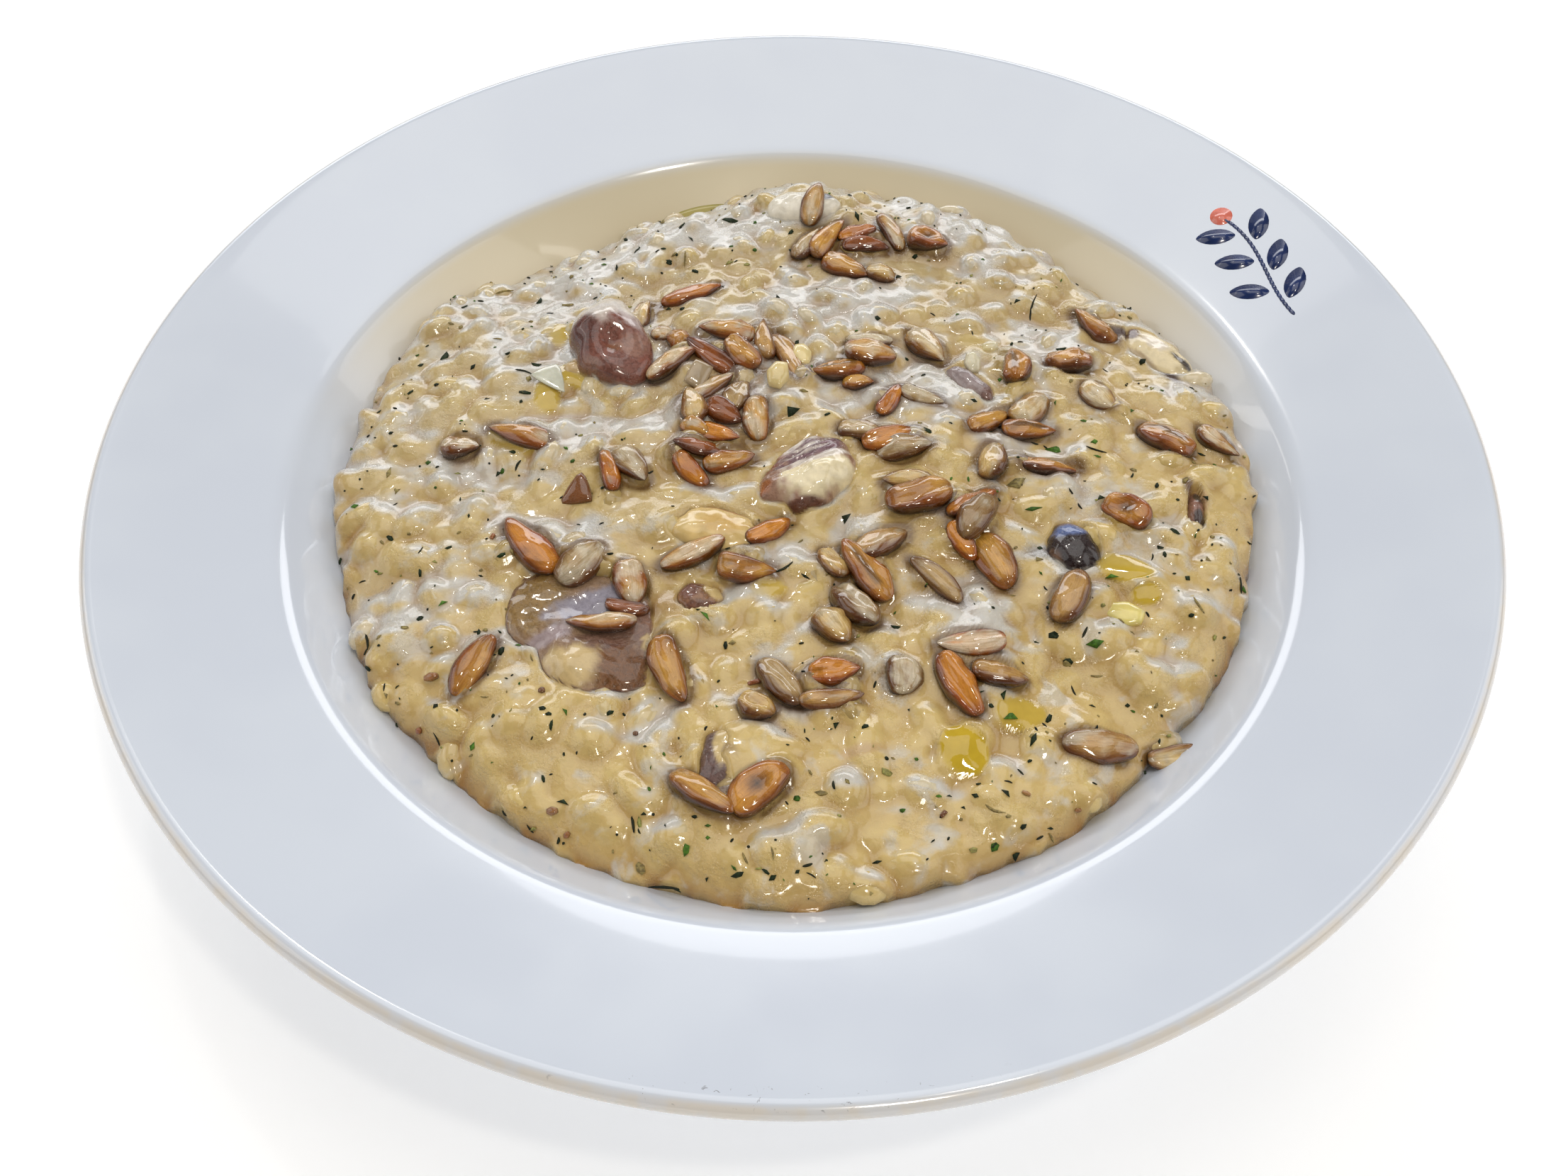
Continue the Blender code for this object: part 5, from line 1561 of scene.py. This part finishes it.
    (-55, -55, 60, 1.4, "leaf"), (-60.5, -58.5, 90, 0.9, "leaf"), (-54, -61, -80, 3.2, "stalk"),
    (-48.5, -62.5, 60, 1.9, "green"), (-48.5, -64, 10, 1.0, "leaf"), (-38.5, -55.5, -10, 1.4, "leaf"),
    (-37.5, -56.5, 10, 1.4, "leaf"), (-37, -58.5, 90, 2.0, "leaf"), (-35, -56, -50, 2.2, "green"),
    (-34, -72, -20, 2.6, "leaf"), (-42.5, -74, -60, 1.2, "stalk"), (-39.5, -73, 0, 0.9, "leaf"),
    (-38.5, -76.5, -55, 1.8, "stalk"),
)
print(len(HERBS), "herbs are placed by hand")

# %% [markdown]
# ## The shape of a herb
# The knife leaves three kinds: dark leaf, bright green leaf and stalk. A leaf curls up a little
# along its length, and no two flakes have the same corners.

# %% Shape a flake or a stalk
HERB_TONES = {"leaf": srgb(26, 38, 16), "stalk": srgb(26, 30, 14), "green": srgb(64, 98, 28)}
LEAF_THICKNESS = 0.14


def herb_form(kind, length, dice):
    """A bent stalk, or a ragged flake of leaf."""
    form = bmesh.new()
    if kind == "stalk":
        bmesh.ops.create_uvsphere(form, u_segments=5, v_segments=6, radius=1.0)
        thick, bow = dice.uniform(0.14, 0.26), dice.uniform(-0.12, 0.12) * length
        for vert in form.verts:
            side, up, along = vert.co
            vert.co = (along * length / 2, side * thick + bow * along**2, up * thick)
        return form
    bmesh.ops.create_circle(form, cap_ends=True, segments=int(dice.integers(3, 7)), radius=1.0)
    narrow, lift = dice.uniform(0.3, 0.8), dice.uniform(-0.12, 0.18) * length
    for vert in form.verts:
        ragged = dice.uniform(0.62, 1.1)
        along, across = vert.co.x * ragged, vert.co.y * ragged
        vert.co = (along * length / 2, across * narrow * length / 2, lift * (along**2 - 0.3))
    thicken(form, LEAF_THICKNESS)
    return form


print("herbs come in", len(HERB_TONES), "kinds")

# %% [markdown]
# ## Strewing the herbs
# Most of a chopped herb is dust. The sizes are drawn so that there are many specks and few
# flakes. Each piece lies flat on the slope under it and is pressed in a little.

# %% Place the herbs
STREWN = 500
herbs = Gathering()
dice = np.random.default_rng(77)


def lay_herb(x, y, heading, length, kind):
    """Lays one herb flat on the rice, some of them with cream over them."""
    tone = HERB_TONES[kind] * dice.uniform(0.7, 1.4)
    if dice.uniform(0, 1) < 0.25:
        tone = 0.6 * tone + 0.4 * CREAM_TAN
    form = herb_form(kind, length, dice)
    up = slope_at(skin, x, y, 0.5)
    pitch, roll = dice.uniform(-0.15, 0.15), dice.uniform(-0.2, 0.2)
    place = lying(x, y, height_at(skin, x, y) + 0.02, up, heading, pitch, roll)
    herbs.pour(form, place, {"paint": np.tile(tone, (len(form.verts), 1))})


for sheet_x, sheet_y, heading, length, kind in HERBS:
    lay_herb(*drop_to_skin(sheet_x, sheet_y), heading, length, kind)
strewn = 0
while strewn < STREWN:
    angle, reach = dice.uniform(0, 360), math.sqrt(dice.uniform(0, 1))
    radius = reach * (float(edge_radius(angle)) - 0.8)
    x, y = radius * math.cos(math.radians(angle)), radius * math.sin(math.radians(angle))
    clump = float(cloud(x, y, 16, 81))
    if dice.uniform(0, 1) > 0.30 + 0.7 * reach**3 + 0.35 * clump or height_at(oil_share, x, y) > 0.5:
        continue
    size = dice.uniform(0, 1)
    length = dice.uniform(0.35, 0.8) if size < 0.60 else dice.uniform(0.8, 1.7)
    kind = "stalk" if dice.uniform(0, 1) < 0.32 else "green" if dice.uniform(0, 1) < 0.3 else "leaf"
    lay_herb(x, y, dice.uniform(0, 180), length, kind)
    strewn += 1


def herb_finish():
    """Dark wet leaf, mottled."""
    material, tree, shader = new_finish("chopped_herb", Coat_Weight=0.10, Coat_Roughness=0.1,
                                        Roughness=0.65, Specular_IOR_Level=0.2)
    fleck = grain_noise(tree, object_place(tree), 0.5, 3)
    share = remap(tree, fleck, 0.35, 0.65, 0, 1)
    body = mottled(tree, share, painted(tree, "paint"), (0.7, 0.7, 0.7), (1.3, 1.35, 1.2))
    tree.links.new(body, shader.inputs["Base Color"])
    add_bump(tree, shader, fleck, 0.06)
    return material


herbs.finish("chopped_herbs", herb_finish(), "herb")

# %% [markdown]
# ## A sprig on the rim
# The rim carries one small printed ornament in deep blue with a single coral accent. Here it
# is a plain sprig: a curved stem, some oval leaves and one round berry. Each shape is a disc
# moved onto the rim's slope and given a hair of thickness, which keeps its outline crisp.

# %% Print the sprig
NAVY, CORAL = srgb(24, 44, 92), srgb(240, 128, 104)
SPRIG_RADIUS, SPRIG_ANGLE = 103.5, math.radians(28.0)
STEM_REACH, STEM_SWING, STEM_WAVE = 13, 2.2, 7.5
STEM_DOTS = 23
LEAF_PLACES = ((-9.5, 1), (-6, -1), (-2, 1), (2, -1), (6, 1), (9.5, -1))  # along the stem, and its side
PRINT_SINK, PRINT_THICKNESS = 0.05, 0.085
sprig = Gathering()


def stem_swing(ahead):
    """How far the stem has swung outwards at a place along it."""
    return STEM_SWING * math.sin(ahead / STEM_WAVE)


def print_oval(ahead, aside, heading, length, width, colour, point=0.0):
    """An oval placed along the rim (ahead) and outwards (aside) from the sprig's middle."""
    form = bmesh.new()
    bmesh.ops.create_circle(form, cap_ends=True, segments=24, radius=1.0)
    turn = Matrix.Rotation(math.radians(heading), 2)
    for vert in form.verts:
        slim = 1 - point * abs(vert.co.x) ** 3
        u, v = turn @ Vector((vert.co.x * length / 2, vert.co.y * slim * width / 2))
        out, round_way = SPRIG_RADIUS + aside + v, SPRIG_ANGLE + (ahead + u) / SPRIG_RADIUS
        vert.co = (out * math.cos(round_way), out * math.sin(round_way), rim_height(out) - PRINT_SINK)
    thicken(form, PRINT_THICKNESS)
    sprig.pour(form, Matrix.Identity(4), {"paint": np.tile(colour, (len(form.verts), 1))})


for step in range(STEM_DOTS):
    ahead = -STEM_REACH + 2 * STEM_REACH * step / (STEM_DOTS - 1)
    heading = math.degrees(math.cos(ahead / STEM_WAVE) * STEM_SWING / STEM_WAVE)
    print_oval(ahead, stem_swing(ahead), heading, 1.9, 0.75, NAVY)
for ahead, side in LEAF_PLACES:
    print_oval(ahead + 2.2, stem_swing(ahead) + side * 4.0, side * 48, 7.4, 3.7, NAVY, 0.35)
print_oval(14.6, stem_swing(STEM_REACH), 0, 4.2, 4.2, CORAL)


def print_finish():
    """Colour under the glaze, a little washed."""
    material, tree, shader = new_finish("glazed_print", Roughness=0.22, Coat_Weight=0.6, Coat_Roughness=0.05)
    wash = remap(tree, grain_noise(tree, object_place(tree), 3.0, 3), 0.3, 0.7, 0, 1)
    body = mottled(tree, wash, painted(tree, "paint"), (0.8, 0.8, 0.85), (1.2, 1.2, 1.25))
    tree.links.new(body, shader.inputs["Base Color"])
    return material


sprig.finish("rim_sprig", print_finish(), "decor")
